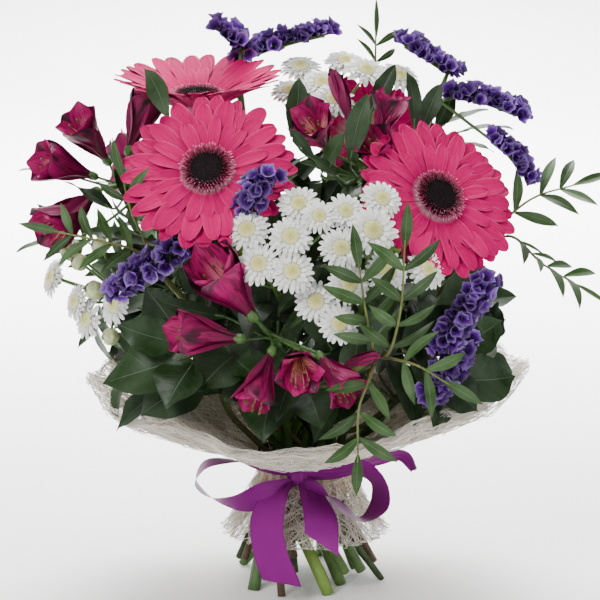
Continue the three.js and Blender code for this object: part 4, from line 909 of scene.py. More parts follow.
def alstroemeria_finishes(colour):
    """Outer tepals, streaked inner tepals, anthers and branches."""
    tepal = Finish("alstroemeria tepal", 0.45, specular=0.3)
    lines = tepal.streaks(2.2, 9.0)
    stops = [(0.0, tone(colour, 0.25)), (0.3, tone(colour, 0.6)), (0.62, colour), (1.0, tone(colour, 0.88))]
    shade = tepal.ramp(tepal.value("along"), *stops)
    shade = tepal.mix(tepal.ramp(lines, (0.46, 0.0), (0.66, 0.75)), shade, tone(colour, 0.36))
    smudge = tepal.times(tepal.ramp(tepal.value("along"), (0.4, 0.2), (0.9, 0.95)),
                         tepal.ramp(tepal.streaks(2.0, 1.3), (0.46, 0.0), (0.6, 1.0)))
    shade = tepal.mix(smudge, shade, "1C1418")
    tepal.bump(lines, 0.0005)
    throat = Finish("alstroemeria streaked tepal", 0.45, specular=0.3)
    stripe = throat.ramp(throat.from_middle(), (0.3, 1.0), (0.6, 0.0))
    stops = [(0.0, "6A1634"), (0.4, "DDB878"), (0.62, "D0708A"), (0.8, colour)]
    middle = throat.ramp(throat.value("along"), *stops)
    sides = throat.ramp(throat.value("along"), (0.2, tone(colour, 0.4)), (0.8, colour))
    streaked = throat.mix(stripe, sides, middle)
    dashes = throat.streaks(7.0, 11.0, 1.0)
    streaked = throat.mix(throat.ramp(dashes, (0.56, 0.0), (0.62, 0.9)), streaked, "5A0826")
    anther = Finish("anther", 0.7)
    ends = anther.ramp(anther.value("along"), (0.0, "D25A86"), (0.8, "E7B08A"), (1.0, "6E5130"))
    return [tepal.paint(tepal.vary(shade, tepal.value("tint"), 0.7, 1.08)), throat.paint(streaked),
            anther.paint(ends), stem_finish("alstroemeria branch", "46662C", "4E7238", "29431E")]


def statice_finishes(colour):
    """Papery calyces, green at the root, and branches."""
    violet = Finish("statice calyx", 0.7, specular=0.2)
    crinkle = violet.streaks(3.0, 9.0)
    shade = violet.ramp(violet.value("along"), (0.0, "5C6A34"), (0.34, "6E7A4A"), (0.5, tone(colour, 0.6)),
                        (0.8, colour), (1.0, tone(colour, 1.2)))
    shade = violet.mix(violet.ramp(crinkle, (0.5, 0.0), (0.7, 0.5)), shade, tone(colour, 0.35))
    violet.bump(crinkle, 0.0005)
    return [violet.paint(violet.vary(shade, violet.value("tint"), 0.5, 1.25)),
            stem_finish("statice branch", "44632E", "4C6B34", "2F4A22", 0.6)]


def sisal_finishes(colour):
    """The felt, tan towards the neck as painted shade deep inside the collar, pale at rim and hem, and the
    loose fibres.
    """
    fibre = Finish("sisal fibre", 0.6)
    stops = [(0.0, tone(colour, 0.62)), (0.3, tone(colour, 0.88)), (0.7, colour), (1.0, tone(colour, 1.6))]
    shade = fibre.ramp(fibre.value("tint"), *stops)
    felt = Finish("sisal felt", 0.85, specular=0.2)
    mesh = felt.noise(1.0, 6.0, felt.place((420, 420, 420)), 1.5)
    felt.bump(mesh, 0.0012)
    # Painted shade: the felt turns tan towards the neck, where it lies deep inside the collar.
    ground = felt.ramp(felt.value("along"), (0.25, "CDBBA0"), (0.85, tone(colour, 0.95)))
    # Painted shade: the felt is darker where its mesh bump is low, in the hollows of the mesh.
    return [felt.paint(felt.vary(ground, mesh, 0.62, 1.05)),
            fibre.paint(fibre.vary(shade, fibre.noise(300.0), 0.9, 1.0))]


def satin_finish(colour):
    """Satin with a faint crumple and darker edges."""
    satin = Finish("satin ribbon", 0.45, specular=0.16)
    edge = satin.ramp(satin.from_middle(), (0.9, 0.0), (0.96, 0.5))
    satin.bump(satin.noise(250.0, 2.0), 0.00008, 0.3)
    return satin.paint(satin.mix(edge, satin.vary(colour, satin.noise(40.0), 0.8, 1.05), tone(colour, 0.6)))


def twine_finish():
    """Brown twine, darker in the hollows between its fibres as painted shade."""
    twine = Finish("twine", 0.85)
    fibres = twine.noise(900.0)
    twine.bump(fibres, 0.0003)
    # Painted shade: darker where the fibre bump is low, in the hollows between the fibres.
    return twine.paint(twine.ramp(fibres, (0.35, "5E4526"), (0.7, "9A7A48")))


# Blooms

def radial_blades(at, axes, angles, profile, widths, bend=None, inward=0.0, **shape):
    """Blades standing round an axis. The profile is (blades, rows, 2): the radius and height along each."""
    axis = axes[0]
    turned = np.asarray(angles, float)[:, None]
    if bend is not None:
        turned = turned + np.asarray(bend)[:, None] * np.linspace(0, 1, profile.shape[1])**2
    out = around(axes, turned)
    spines = vec(at) + out * profile[..., :1] + axis * profile[..., 1:]
    normals = axis - out[:, 0] * inward
    return blades(spines, np.broadcast_to(normals[:, None], spines.shape), widths, **shape)


def rounded(rows, widest, root, tip=1.0):
    """Width along a petal: from its root share up to the widest place, then round to its tip."""
    share = np.asarray(rows, float)
    rise = root + (1 - root) * np.sin(np.clip(share / widest, 0, 1) * np.pi / 2)**1.3
    fall = np.sqrt(np.clip(1 - (np.clip(share - widest, 0, 1) / (1 - widest))**2, 0, 1))
    return rise * fall**tip


PETAL_ROWS = vec([0, 0.14, 0.28, 0.42, 0.55, 0.67, 0.77, 0.85, 0.91, 0.955, 0.985, 1])
GERBERA_RINGS = [dict(count=25, length=0, width=12.8, height=-6.6),
                 dict(count=24, length=-4, width=12, height=-3.8),
                 dict(count=21, length=-17, width=9, height=-1.4)]
PETAL_START = 9
MOST_RIM_TILT = 14

# The comb of ring florets: radius where they start and end, and how high they stand there.
GERBERA_COMB = [(13.0, 18.4, 0.0, 1.4), (12.4, 16.8, 0.2, 2.6), (11.6, 15.0, 0.4, 3.4),
                (10.8, 13.2, 0.6, 3.6), (9.8, 11.4, 0.6, 3.2)]
EYE_RADIUS = 12.4
EYE_DOME = [(13.2, -1.6), (12.2, 0.2), (9, 1.2), (5, 1.6), (0.2, 1.5)]
EYE_STUDS = 230
BRACTS = 36


def gerbera_petals(skin, at, axes, bloom):
    """Three rings of petals, the lower ones longer."""
    slope, seed = math.tan(math.radians(bloom["cup"])), bloom["seed"]
    for row, ring in enumerate(GERBERA_RINGS):
        count, full = ring["count"], GERBERA_RADIUS + ring["length"]
        draw = [draws(seed * 100 + row * 10 + k, count) for k in range(5)]
        length = full * (0.94 + 0.08 * draw[0])
        radius = PETAL_START + (length - PETAL_START)[:, None] * PETAL_ROWS
        share = radius / full
        height = (ring["height"] + slope * (radius - GERBERA_ROOT) - bloom["droop"] * share**3
                  + (3.6 * (draw[2] - 0.5))[:, None] * share**2 + 1.4 * np.sin(np.pi * PETAL_ROWS))
        width = ring["width"] * (0.9 + 0.2 * draw[3])[:, None] * rounded(PETAL_ROWS, 0.66, 0.42, 0.85)
        angles = ring_angles(count, 0.5 * row, 0.35 * (draw[1] - 0.5))
        points = radial_blades(at, axes, angles, np.stack([radius, height], -1), width,
                               bend=0.12 * (draw[4] - 0.5), columns=9, cup=0.13, grooves=3, depth=0.28,
                               twist=0.3 * (draw[1] - 0.5))
        skin.grids(points, along=PETAL_ROWS[None, :, None], tint=draw[2], slot=0)


def gerbera_eye(skin, at, axes, rim, seed):
    """The comb of short florets, and inside it the dark eye of packed buds."""
    rows = np.linspace(0, 1, 5)
    for row, (start, end, low, high) in enumerate(GERBERA_COMB):
        count = 52 - 4 * row
        draw = [draws(seed * 100 + 50 + row * 3 + k, count) for k in range(3)]
        reach = (0.6 + 0.5 * draw[0])[:, None]
        radius = start + (end - start) * reach * rows**1.4
        height = rim - 1.2 + low + (high - low + 1.2) * reach * np.sin(rows * np.pi / 2)
        angles = ring_angles(count, 0.5 * row, 0.5 * (draw[1] - 0.5))
        points = radial_blades(at, axes, angles, np.stack([radius, height], -1),
                               rounded(rows, 0.5, 0.7)[None] + 0.2, columns=3, cup=0.5)
        skin.grids(points, along=((0.3 - 0.06 * row) + 0.7 * rows)[None, :, None], tint=draw[2], slot=1)
    skin.rounds(rings(at, axes, [(radius, rim + height) for radius, height in EYE_DOME], 20), slot=2)
    radius, out = packed_eye(axes, EYE_STUDS, EYE_RADIUS)
    share = radius / EYE_RADIUS
    height = rim + 1.5 - 1.2 * share**2
    places = at + out * radius[:, None] + axes[0] * height[:, None]
    domes = studs(places, axes[0] + 0.04 * out * radius[:, None], 0.34 + 0.3 * radius / EYE_RADIUS,
                  1.1 + 0.5 * draws(seed, EYE_STUDS))
    skin.rounds(domes, tint=draws(seed + 1, EYE_STUDS), slot=2)


def gerbera_bracts(skin, at, axes, seed):
    """Two layers of green bracts under the bloom."""
    rows = np.linspace(0, 1, 5)
    draw = draws(seed * 7, BRACTS)
    layer = (np.arange(BRACTS) % 2)[:, None]
    radius = 9.2 + layer * 0.5 + 5.2 * rows**1.6 * (0.85 + 0.3 * draw)[:, None]
    height = -17.5 + 4 * layer + 10.5 * rows * (0.9 + 0.2 * draw)[:, None]
    points = radial_blades(at, axes, ring_angles(BRACTS), np.stack([radius, height], -1),
                           3.4 * vec([0.9, 1, 0.85, 0.5, 0.05])[None], inward=1.0, columns=3, cup=0.3)
    skin.grids(points, tint=draw, slot=3)


def gerbera_bloom(name, materials):
    """Petals in three rings, the dark eye, its comb of short florets, and the green bracts underneath."""
    bloom, stem = GERBERAS[name], STEMS[name]
    at, axes = vec(stem["top"]), axes_at(bloom.get("face", stem["face"]))
    rim = -0.2 + math.tan(math.radians(min(bloom["cup"], MOST_RIM_TILT) + 2)) * GERBERA_DISC_RADIUS
    skin = Skin()
    gerbera_petals(skin, at, axes, bloom)
    gerbera_eye(skin, at, axes, rim, bloom["seed"])
    gerbera_bracts(skin, at, axes, bloom["seed"])
    return skin.build(f"{name}_bloom", materials)


SPOON_ROWS = vec([0, 0.2, 0.42, 0.64, 0.82, 0.94, 1])

# Layers of petals in a head: count, width, then (radius, height) at root, middle and tip.
# All but the counts and LARGEST_BUD are shares of the head's radius.
HEAD_LAYERS = [(20, 0.235, (0.26, -0.02), (0.62, 0.1), (1.04, 0.02)),
               (18, 0.22, (0.28, 0.06), (0.58, 0.2), (0.88, 0.16)),
               (14, 0.18, (0.32, 0.12), (0.48, 0.25), (0.66, 0.29))]
HEAD_EYE = 0.42
HEAD_DOME = vec([(0.44, 0.06), (0.42, 0.18), (0.28, 0.29), (0.02, 0.33)])
HEAD_CUP = vec([(0.07, -0.36), (0.2, -0.33), (0.34, -0.16), (0.5, -0.02), (0.2, 0.02)])
HEAD_STUDS = 90
LARGEST_BUD = 9


def petal_ring(skin, at, axes, ends, width, turn, draw, inward=0.0, slot=0):
    """A ring of spoon petals; ends gives radius and height at root, middle and tip."""
    curve = smooth_line(ends, len(SPOON_ROWS))
    even = np.linspace(0, 1, len(SPOON_ROWS))
    curve = np.stack([np.interp(SPOON_ROWS, even, curve[:, k]) for k in (0, 1)], -1)
    reach = (0.92 + 0.14 * draw[0])[:, None]
    radius = curve[0, 0] + (curve[:, 0] - curve[0, 0]) * reach
    height = curve[:, 1] + (curve[-1, 0] * 0.14 * (draw[1] - 0.5))[:, None] * SPOON_ROWS**2
    angles = ring_angles(len(draw[0]), turn, 0.4 * (draw[2] - 0.5))
    points = radial_blades(at, axes, angles, np.stack([radius, height], -1),
                           width * rounded(SPOON_ROWS, 0.62, 0.45)[None] + 0.05, inward=inward,
                           columns=4, cup=0.22, twist=0.35 * (draw[0] - 0.5))
    skin.grids(points, along=SPOON_ROWS[None, :, None], tint=draw[1], slot=slot)


def chrysanthemum_bud(skin, at, axes, size, seed):
    """A closed bud: a ribbed ball with two rings of petals folded over it."""
    ball = [(0.1, -size), (0.6 * size, -0.85 * size), (0.9 * size, -0.3 * size), (0.85 * size, 0.25 * size),
            (0.4 * size, 0.62 * size), (0.05, 0.7 * size)]
    skin.rounds(rings(at, axes, ball, 10, 5, 0.06), slot=2)
    for row in range(2):
        draw = [draws(seed + 10 * row + k, 9 - 3 * row) for k in range(3)]
        ends = [(0.62 * size, -0.5 * size), (0.98 * size, 0.1 * size),
                (0.35 * size, (0.78 + 0.08 * row) * size)]
        petal_ring(skin, at, axes, ends, 0.62 * size, 0.5 * row, draw, inward=1.2, slot=2)


def chrysanthemum_head(skin, at, face, size, seed):
    """Three layers of white petals round a domed yellow eye, in a green cup."""
    axes = axes_at(face)
    if size < LARGEST_BUD:
        chrysanthemum_bud(skin, at, axes, size, seed)
        return
    for row, (count, width, *ends) in enumerate(HEAD_LAYERS):
        draw = [draws(seed + 10 * row + k, count) for k in range(3)]
        petal_ring(skin, at, axes, vec(ends) * size, width * size, 0.5 * row, draw)
    skin.rounds(rings(at, axes, HEAD_DOME * size, 16), slot=1, along=vec([1, 0.8, 0.4, 0.2])[None, :, None])
    radius, out = packed_eye(axes, HEAD_STUDS, HEAD_EYE * size)
    share = radius / HEAD_EYE / size
    height = (0.32 - 0.13 * share**2) * size
    domes = studs(at + out * radius[:, None] + axes[0] * height[:, None], np.broadcast_to(axes[0], out.shape),
                  0.034 * size, 0.05 * size)
    skin.rounds(domes, along=share[:, None, None], tint=draws(seed + 3, HEAD_STUDS), slot=1)
    skin.rounds(rings(at, axes, HEAD_CUP * size, 12, 6, 0.08), slot=3)


def branch_tubes(skin, name, slot, radius, ridge=0.0):
    """The side branches of a spray: the first one thick at its fork."""
    fork_radius, rows = 2.4, 9
    for i, route in enumerate(BRANCHES[name]):
        thick, thin = (radius, 0.8 * radius) if i else (fork_radius, radius)
        path = smooth_line(route, rows)
        skin.rounds(tubes(*tapered(path, np.linspace(thick, thin, rows)), 6, ridge), tint=0.4, slot=slot)


def fork_leaves(skin, name, slot):
    """Small leaves where the side branches fork."""
    count, length, width, droop = 5, 17, 5, 3
    routes = BRANCHES[name]
    draw = [draws(len(name) * 13 + k, count) for k in range(3)]
    rows = np.linspace(0, 1, 8)[:, None]
    outline = width * rounded(rows[:, 0], 0.45, 0.2, 1.4)[None]
    for i in range(count):
        route = routes[i % len(routes)]
        root = route[0] + (route[1] - route[0]) * (0.2 + 0.7 * draw[0][i])
        aside = vec([math.cos(7 * draw[1][i]), math.sin(7 * draw[1][i]), 0.2])
        way = unit(unit(route[1] - route[0]) + 0.9 * aside)
        spine = root + way * rows * length * (0.7 + 0.5 * draw[2][i]) - UP * droop * rows**2
        skin.grids(blades(spine, UP, outline, columns=5, cup=0.2, fold=0.2), tint=draw[0][i], slot=slot)


def chrysanthemum_spray(name, materials):
    """The heads, buds, branches and small leaves of one spray."""
    skin = Skin()
    branch_tubes(skin, name, 3, 1.1)
    for i, (x, y, z, size) in enumerate(HEADS[name]):
        at = vec([x, y, z])
        chrysanthemum_head(skin, at, head_axis(name, at), size, 1000 * len(name) + 37 * i)
    fork_leaves(skin, name, 3)
    return skin.build(f"{name}_spray", materials)


TEPAL_OUTLINE = [(0, 0.14), (0.2, 0.32), (0.45, 0.76), (0.68, 1), (0.84, 0.98), (0.95, 0.74), (1, 0.1)]


def alstroemeria_tepals(skin, base, axes, length, opened, seed):
    """Three outer tepals, and three slimmer ones inside, streaked where the bloom is open."""
    rim = length * (0.08 + 0.31 * opened) if opened > 0.5 else 0.07 * length
    waist, curl = 0.1 * length, 0.1 * length * max(0, opened - 0.6)
    shape = vec([(0.03 * length, 0), (0.055 * length, 0.22 * length), (waist, 0.46 * length),
                 (0.62 * rim + 0.3 * waist, 0.72 * length), (rim, 0.93 * length),
                 (rim + curl, 0.98 * length - curl)])
    curve = smooth_line(shape, 11)
    outline = np.interp(np.linspace(0, 1, 11), *zip(*TEPAL_OUTLINE))
    for inner, (share, reach) in enumerate(((0.52, 0.94), (0.38, 1.0))):
        draw = [draws(seed + 5 * inner + k, 3) for k in range(3)]
        angles = 2 * np.pi * (np.arange(3) + 0.5 * inner) / 3 + 0.12 * (draw[0] - 0.5) + seed
        wide = share * length * (0.6 if opened < 0.5 else 1)
        profile = curve[None] * (reach + 0.08 * (draw[1] - 0.5))[:, None, None]
        profile[..., 0] *= 1 - 0.12 * inner
        points = radial_blades(base, axes, angles, profile, (wide * outline)[None], inward=2.0,
                               columns=9, cup=0.42, grooves=2, depth=0.2, twist=0.2 * (draw[2] - 0.5))
        skin.grids(points, tint=draw[0], slot=1 if inner and opened > 0.6 else 0)


def alstroemeria_bloom(skin, base, tip, opened, seed):
    """The ribbed ovary, six tepals, and six anthers where the bloom is open."""
    axes = axes_at(tip - base)
    length = np.linalg.norm(tip - base)
    ovary = [(0.6, -2), (0.055 * length, -0.5), (0.07 * length, 0.06 * length),
             (0.045 * length, 0.16 * length), (0.3, 0.18 * length)]
    skin.rounds(rings(base, axes, ovary, 9, 3, 0.1), slot=3)
    alstroemeria_tepals(skin, base, axes, length, opened, seed)
    if opened > 0.6:
        axis = axes[0]
        draw = draws(seed + 40, 6)
        out = around(axes, ring_angles(6))
        steps = np.linspace(0, 1, 7)[None, :, None]
        rise = axis * length * (0.2 + 0.66 * (0.85 + 0.2 * draw)[:, None, None] * steps)
        sag = vec([0, 0, -0.1 * length]) * steps**2
        paths = base + rise + out[:, None] * (0.03 + 0.1 * steps) * length + sag
        skin.rounds(tubes(paths, 0.35, 4), tint=draw, slot=2)
        skin.rounds(studs(paths[:, -1], np.broadcast_to(axis, out.shape), 0.9, 2.2, 6), along=1.0, slot=2)


def alstroemeria_umbel(name, materials):
    """The blooms and buds of one stem, on their branches."""
    skin = Skin()
    branch_tubes(skin, name, 3, 1.1)
    for i, (base, tip, opened) in enumerate(BLOOMS[name]):
        base, tip = vec(base), vec(tip)
        full_tip = base + (tip - base) * FULLER.get(name, 1)
        alstroemeria_bloom(skin, base, full_tip, opened, 50 * len(name) + 9 * i)
    return skin.build(f"{name}_umbel", materials)


def statice_florets(skin, place, axis, seed):
    """Many papery funnels at once, each with five ruffled lobes."""
    count, sides = len(place), 15
    across = unit(np.cross(axis, vec([0.31, 0.42, 0.85])))
    other = np.cross(axis, across)
    clump = 1.0 + 0.35 * np.sin(0.7 * np.arange(count) + seed)
    tall = (clump * (6.2 + 3.6 * draws(seed, count)))[:, None, None]
    wide = (clump * (3.1 + 1.3 * draws(seed + 1, count)))[:, None, None]
    turn = draws(seed + 2, count, 0, 6)[:, None, None]
    angles = 2 * np.pi * np.arange(sides)[None, None] / sides + turn
    lobes = np.cos(5 * angles - 5 * turn)
    radius = vec([0.16, 0.3, 0.62, 1.0])[None, :, None]
    height = vec([0, 0.4, 0.78, 1.0])[None, :, None]
    ruffle = radius**3
    crinkle = draws(seed + 4, count * sides, -1, 1).reshape(count, 1, sides)
    spread = wide * radius * (1 + ruffle * (0.12 * lobes + 0.13 * crinkle))
    rise = tall * height + ruffle * (0.35 * lobes + 0.7 * crinkle)
    points = (place[:, None, None] + across[:, None, None] * (spread * np.cos(angles))[..., None]
              + other[:, None, None] * (spread * np.sin(angles))[..., None]
              + axis[:, None, None] * rise[..., None])
    skin.rounds(points, along=height, across=np.cos(2.5 * angles), tint=draws(seed + 3, count))


FLORET_TILTS = vec([-0.9, 0.15, 0.85, -0.4, 0.5])


def at_steps(path, at):
    """The rows of a path at whole and part steps along it."""
    return np.stack([np.interp(at, np.arange(len(path)), path[:, k]) for k in range(3)], -1)


def statice_spray(name, materials, per_mm):
    """The winged branches of one spray, with florets all along their outer sides."""
    skin = Skin()
    branch_tubes(skin, name, 1, 1.2, 0.25)
    for i, line in enumerate(CLUSTERS[name]):
        line = vec(line)
        long = np.linalg.norm(np.diff(line, axis=0), axis=1).sum()
        path = smooth_line(line, max(6, int(long / 3)))
        skin.rounds(tubes(*tapered(path, 1.1), 6, 0.5), slot=1)
        count = int(per_mm * long) + 10
        seed = 500 * len(name) + 31 * i
        share = np.linspace(-0.03, 1.03, count)
        at = np.clip(share, 0, 1) * (len(path) - 1)
        place, way = at_steps(path, at), unit(at_steps(np.gradient(path, axis=0), at))
        side = unit(np.cross(way, place - DOME_CENTRE))
        top = np.cross(side, way)
        tilt = np.radians(78) * FLORET_TILTS[np.arange(count) % 5] + draws(seed, count, -0.25, 0.25)
        onward = draws(seed + 9, count, -0.15, 0.5)[:, None]
        ends = (3 * (share - 0.5)**5 * 8)[:, None]
        axis = unit(top * np.cos(tilt)[:, None] + side * np.sin(tilt)[:, None] + way * onward + way * ends)
        statice_florets(skin, place + axis * 0.8, axis, seed)
    return skin.build(f"{name}_spray", materials)


# Foliage and stems

def stem_tube(skin, name, slot=0, ridge=0.0, sides=10):
    """One stem from cut end to top, a little thicker below the neck, cut off at the ground."""
    rows, ground, slimmer, thicker = 40, 0.05, 0.92, 0.22
    path = smooth_line(LINES[name], rows)
    below = np.clip(1 - path[:, 2] / NECK_LOW, 0, 1)
    radius = STEMS[name]["radius"] * (np.linspace(1.0, slimmer, rows) + thicker * below)
    tube = tubes(*tapered(path, radius), sides, ridge)
    tube[..., 2] = np.maximum(tube[..., 2], ground)
    skin.rounds(tube, slot=slot)


def plain_stem(name, material, ridge=0.0):
    """A stem without leaves; under a gerbera it ends in the green cup of the bloom."""
    skin = Skin()
    stem_tube(skin, name, ridge=ridge)
    if name in GERBERAS:
        radius = STEMS[name]["radius"]
        cup = [(radius * 0.95, -12), (radius + 0.6, -9.5), (radius + 2.4, -7), (8.4, -3.6), (10.3, -0.6),
               (10.6, 0.8), (0.2, 1.0)]
        skin.rounds(rings(LINES[name][-1], axes_at(unit(STEMS[name]["face"])), cup, 18))
    return skin.build(f"{name}_stalk", [material])


def add_leaf(skin, name, leaf, outline, arch, lift, seed, columns=13, wave=0.0):
    """A leaf (base, tip, width) on its stalk: root on the stem, blade arched up from base to tip."""
    fold, cup, rows = 0.14, 0.1, 22
    base, tip, width = vec(leaf[0]), vec(leaf[1]), leaf[2]
    root = nearest_on(LINES[name], base)
    length = np.linalg.norm(tip - base)
    outward = (base + tip) / 2 - DOME_CENTRE
    outward[2] = abs(outward[2]) + lift
    up = unit(outward)
    share = np.linspace(0, 1, rows)
    spine = base + (tip - base) * share[:, None] + up * (arch * length * (1 - (2 * share - 1)**2))[:, None]
    side = unit(np.cross(tip - base, up))
    bend = draws(seed, 3) - 0.5
    spine = spine + side * (bend[0] * 0.1 * length * np.sin(np.pi * share))[:, None]
    widths = width * np.interp(share, *zip(*outline))
    blade = blades(spine, up, widths[None], columns=columns, cup=cup, fold=fold, twist=0.25 * bend[1])
    across = np.linspace(-1, 1, columns)
    ripple = wave * np.sin(share * 11 + 6 * bend[2])[:, None] * np.abs(across)**2 * np.sign(across)
    ripple = ripple + 0.6 * wave * np.sin(share * 17 + 3 * bend[0])[:, None] * np.abs(across)**2
    skin.grids(blade + up * ripple[None, ..., None], tint=draws(seed + 1, 1))
    sagging = (root + base) / 2 - up * 0.05 * np.linalg.norm(base - root)
    stalk = smooth_line([root, sagging, base, base + (spine[3] - base) * 0.9], 8)
    skin.rounds(tubes(*tapered(stalk, np.linspace(1.1, 0.7, 8))), slot=1)


# Leaf outlines: the width at each share of the length.
OVATE = [(0, 0.14), (0.06, 0.42), (0.15, 0.72), (0.28, 0.96), (0.4, 1.0), (0.54, 0.91), (0.68, 0.69),
         (0.8, 0.42), (0.89, 0.21), (0.95, 0.09), (1, 0.01)]
LANCE = [(0, 0.2), (0.12, 0.5), (0.3, 0.86), (0.48, 1.0), (0.66, 0.84), (0.82, 0.52), (0.94, 0.18), (1, 0.02)]


def salal_branch(name, materials):
    """A salal stem with its broad outer leaves and those inside the dome."""
    skin = Skin()
    stem_tube(skin, name, slot=1, sides=8)
    for i, leaf in enumerate(SALAL_LEAVES[name]):
        add_leaf(skin, name, leaf, OVATE, 0.07, 60, 70 * len(name) + 11 * i, wave=0.9)
    for i, leaf in enumerate(INNER[name]):
        add_leaf(skin, name, leaf, OVATE, 0.1, 60, 5000 + 13 * i, columns=7, wave=0.6)
    return skin.build(f"{name}_branch", materials)


def alstroemeria_leaves(name, materials):
    """The leafy stem: its outer leaves, and more of them inside among the other stems."""
    skin = Skin()
    stem_tube(skin, name, slot=1, sides=8)
    for i, leaf in enumerate(ALSTROEMERIA_LEAVES[name]):
        add_leaf(skin, name, leaf, LANCE, 0.06, 20, 90 * len(name) + 7 * i, columns=9, wave=0.5)
    line = smooth_line(LINES[name], 60)
    count = 10
    draw = [draws(33 * len(name) + k, count) for k in range(4)]
    for i in range(count):
        base = line[int(26 + 30 * (i + draw[0][i]) / count)]
        turn = 6.28 * draw[1][i]
        away = unit(vec([math.cos(turn), math.sin(turn), 0.4 + draw[2][i]]))
        leaf = (base + away * 3, base + away * (34 + 22 * draw[3][i]), 11)
        add_leaf(skin, name, leaf, LANCE, 0.1, 20, 300 + 17 * i + len(name), columns=7)
    for i, (base, tip, width) in enumerate(INNER[name]):
        add_leaf(skin, name, (base, tip, 0.7 * width), LANCE, 0.1, 30, 7000 + 13 * i, columns=7, wave=0.5)
    return skin.build(f"{name}_foliage", materials)


LEAFLET_LENGTH = 29
LEAFLET_WIDTH = 7.8
LEAFLET_SPACING = 16
LEAFLET_SWEEP = 0.75

# Branches whose leaflets are slimmer, as a share of the others' width.
SLIM_LEAFLETS = {"pistacia_top": 0.6, "pistacia_left": 0.8}


def opposite_leaflets(midrib, slim, seed):
    """Spines, normals and tints of the leaflets that stand in pairs along a midrib, with one at its end."""
    rows = np.linspace(0, 1, 12)
    hump = np.sin(np.pi * rows)
    spines, ups, tints = [], [], []
    for k, (start, end) in enumerate(zip(midrib[:-1], midrib[1:])):
        length = np.linalg.norm(end - start)
        way = unit(end - start)
        steps = max(1, round(length / LEAFLET_SPACING))
        for j in range(steps):
            place = start + way * (length * (j + 0.2) / steps + LEAFLET_WIDTH / 2)
            side = unit(np.cross(way, unit(place - DOME_CENTRE)))
            up = unit(np.cross(side, way))
            for hand in (-1, 1):
                draw = draws(seed + 20 * k + 4 * j + hand, 4)
                reach = (0.88 + 0.24 * draw[0]) * LEAFLET_LENGTH * math.sqrt(slim)
                reach = reach / math.hypot(1, LEAFLET_SWEEP)
                tip = side * hand * reach + way * reach * LEAFLET_SWEEP + up * (draw[1] - 0.6) * 6
                curve = rows[:, None] * tip + up * (2.4 * hump + 0.4)[:, None] * (draw[2] + 0.3)
                curve = curve + way * (1.6 * hump * (draw[3] - 0.2))[:, None]
                spines.append(place - way * 2 + curve)
                ups.append(up + 0.5 * (draw[3] - 0.5) * side)
                tints.append(draw[1])
    spines.append(midrib[-1] + rows[:, None] * unit(midrib[-1] - midrib[-2]) * LEAFLET_LENGTH)
    ups.append(unit(midrib[-1] - DOME_CENTRE))
    tints.append(0.5)
    return spines, vec(ups), tints


def pistacia_branch(name, materials):
    """A pistacia stem with its midribs and slim leaflets."""
    skin = Skin()
    stem_tube(skin, name, slot=1, sides=8)
    slim = SLIM_LEAFLETS.get(name, 1)
    outline = np.interp(np.linspace(0, 1, 12), *zip(*LANCE)) * LEAFLET_WIDTH * slim
    for i, midrib in enumerate(FRONDS[name]):
        midrib = vec(midrib)
        root = nearest_on(LINES[name], midrib[0])
        path = smooth_line([root, *midrib, midrib[-1] + unit(midrib[-1] - midrib[-2]) * 5], 26)
        skin.rounds(tubes(*tapered(path, np.linspace(1.2, 0.55, 26))), slot=1)
        spines, ups, tints = opposite_leaflets(midrib, slim, 1000 * len(name) + 100 * i)
        skin.grids(blades(spines, ups, outline[None], columns=7, cup=0.06, fold=0.22), tint=tints)
    return skin.build(f"{name}_branch", materials)


TWINE_TURNS = (80.5, 83.5)
TWINE_RADIUS = 27.1
PLY_RADIUS = 0.85
PLY_OFFSET = 0.62


def twine_tie(material):
    """Two turns of two-ply twine round all the stems."""
    skin = Skin()
    turns = np.linspace(0, 2 * np.pi, 121)
    for height in TWINE_TURNS:
        for ply in range(2):
            wind = 26 * turns + np.pi * ply
            radius = TWINE_RADIUS + PLY_OFFSET * np.cos(wind)
            rise = height + PLY_OFFSET * np.sin(wind)
            path = np.stack([radius * np.cos(turns), radius * np.sin(turns), rise], -1)
            skin.rounds(tubes(path, PLY_RADIUS))
    return skin.build("twine_binding", [material])


# Sisal

# How much higher the front of the felt stands than the rim table, in millimetres.
FRONT_LIP = 9.0

# The way from the neck to rim and hem, in millimetres, and the farthest shares of it that a fibre reaches.
COLLAR_SPAN = 112.0
SKIRT_SPAN = 46.0
FARTHEST_FIBRES = (-1.06, 1.03)


def rim_at(azimuth):
    """Radius and height of the collar's rim at each azimuth."""
    rows = vec(COLLAR_RIM)
    turned = np.mod(azimuth, 2 * np.pi) * 180 / np.pi
    k = np.clip(np.searchsorted(rows[:, 0], turned, side="right") - 1, 0, len(rows) - 2)
    share = (turned - rows[k, 0]) / (rows[k + 1, 0] - rows[k, 0])
    blend = (share * share * (3 - 2 * share))[..., None]
    return rows[k, 1:] + (rows[k + 1, 1:] - rows[k, 1:]) * blend


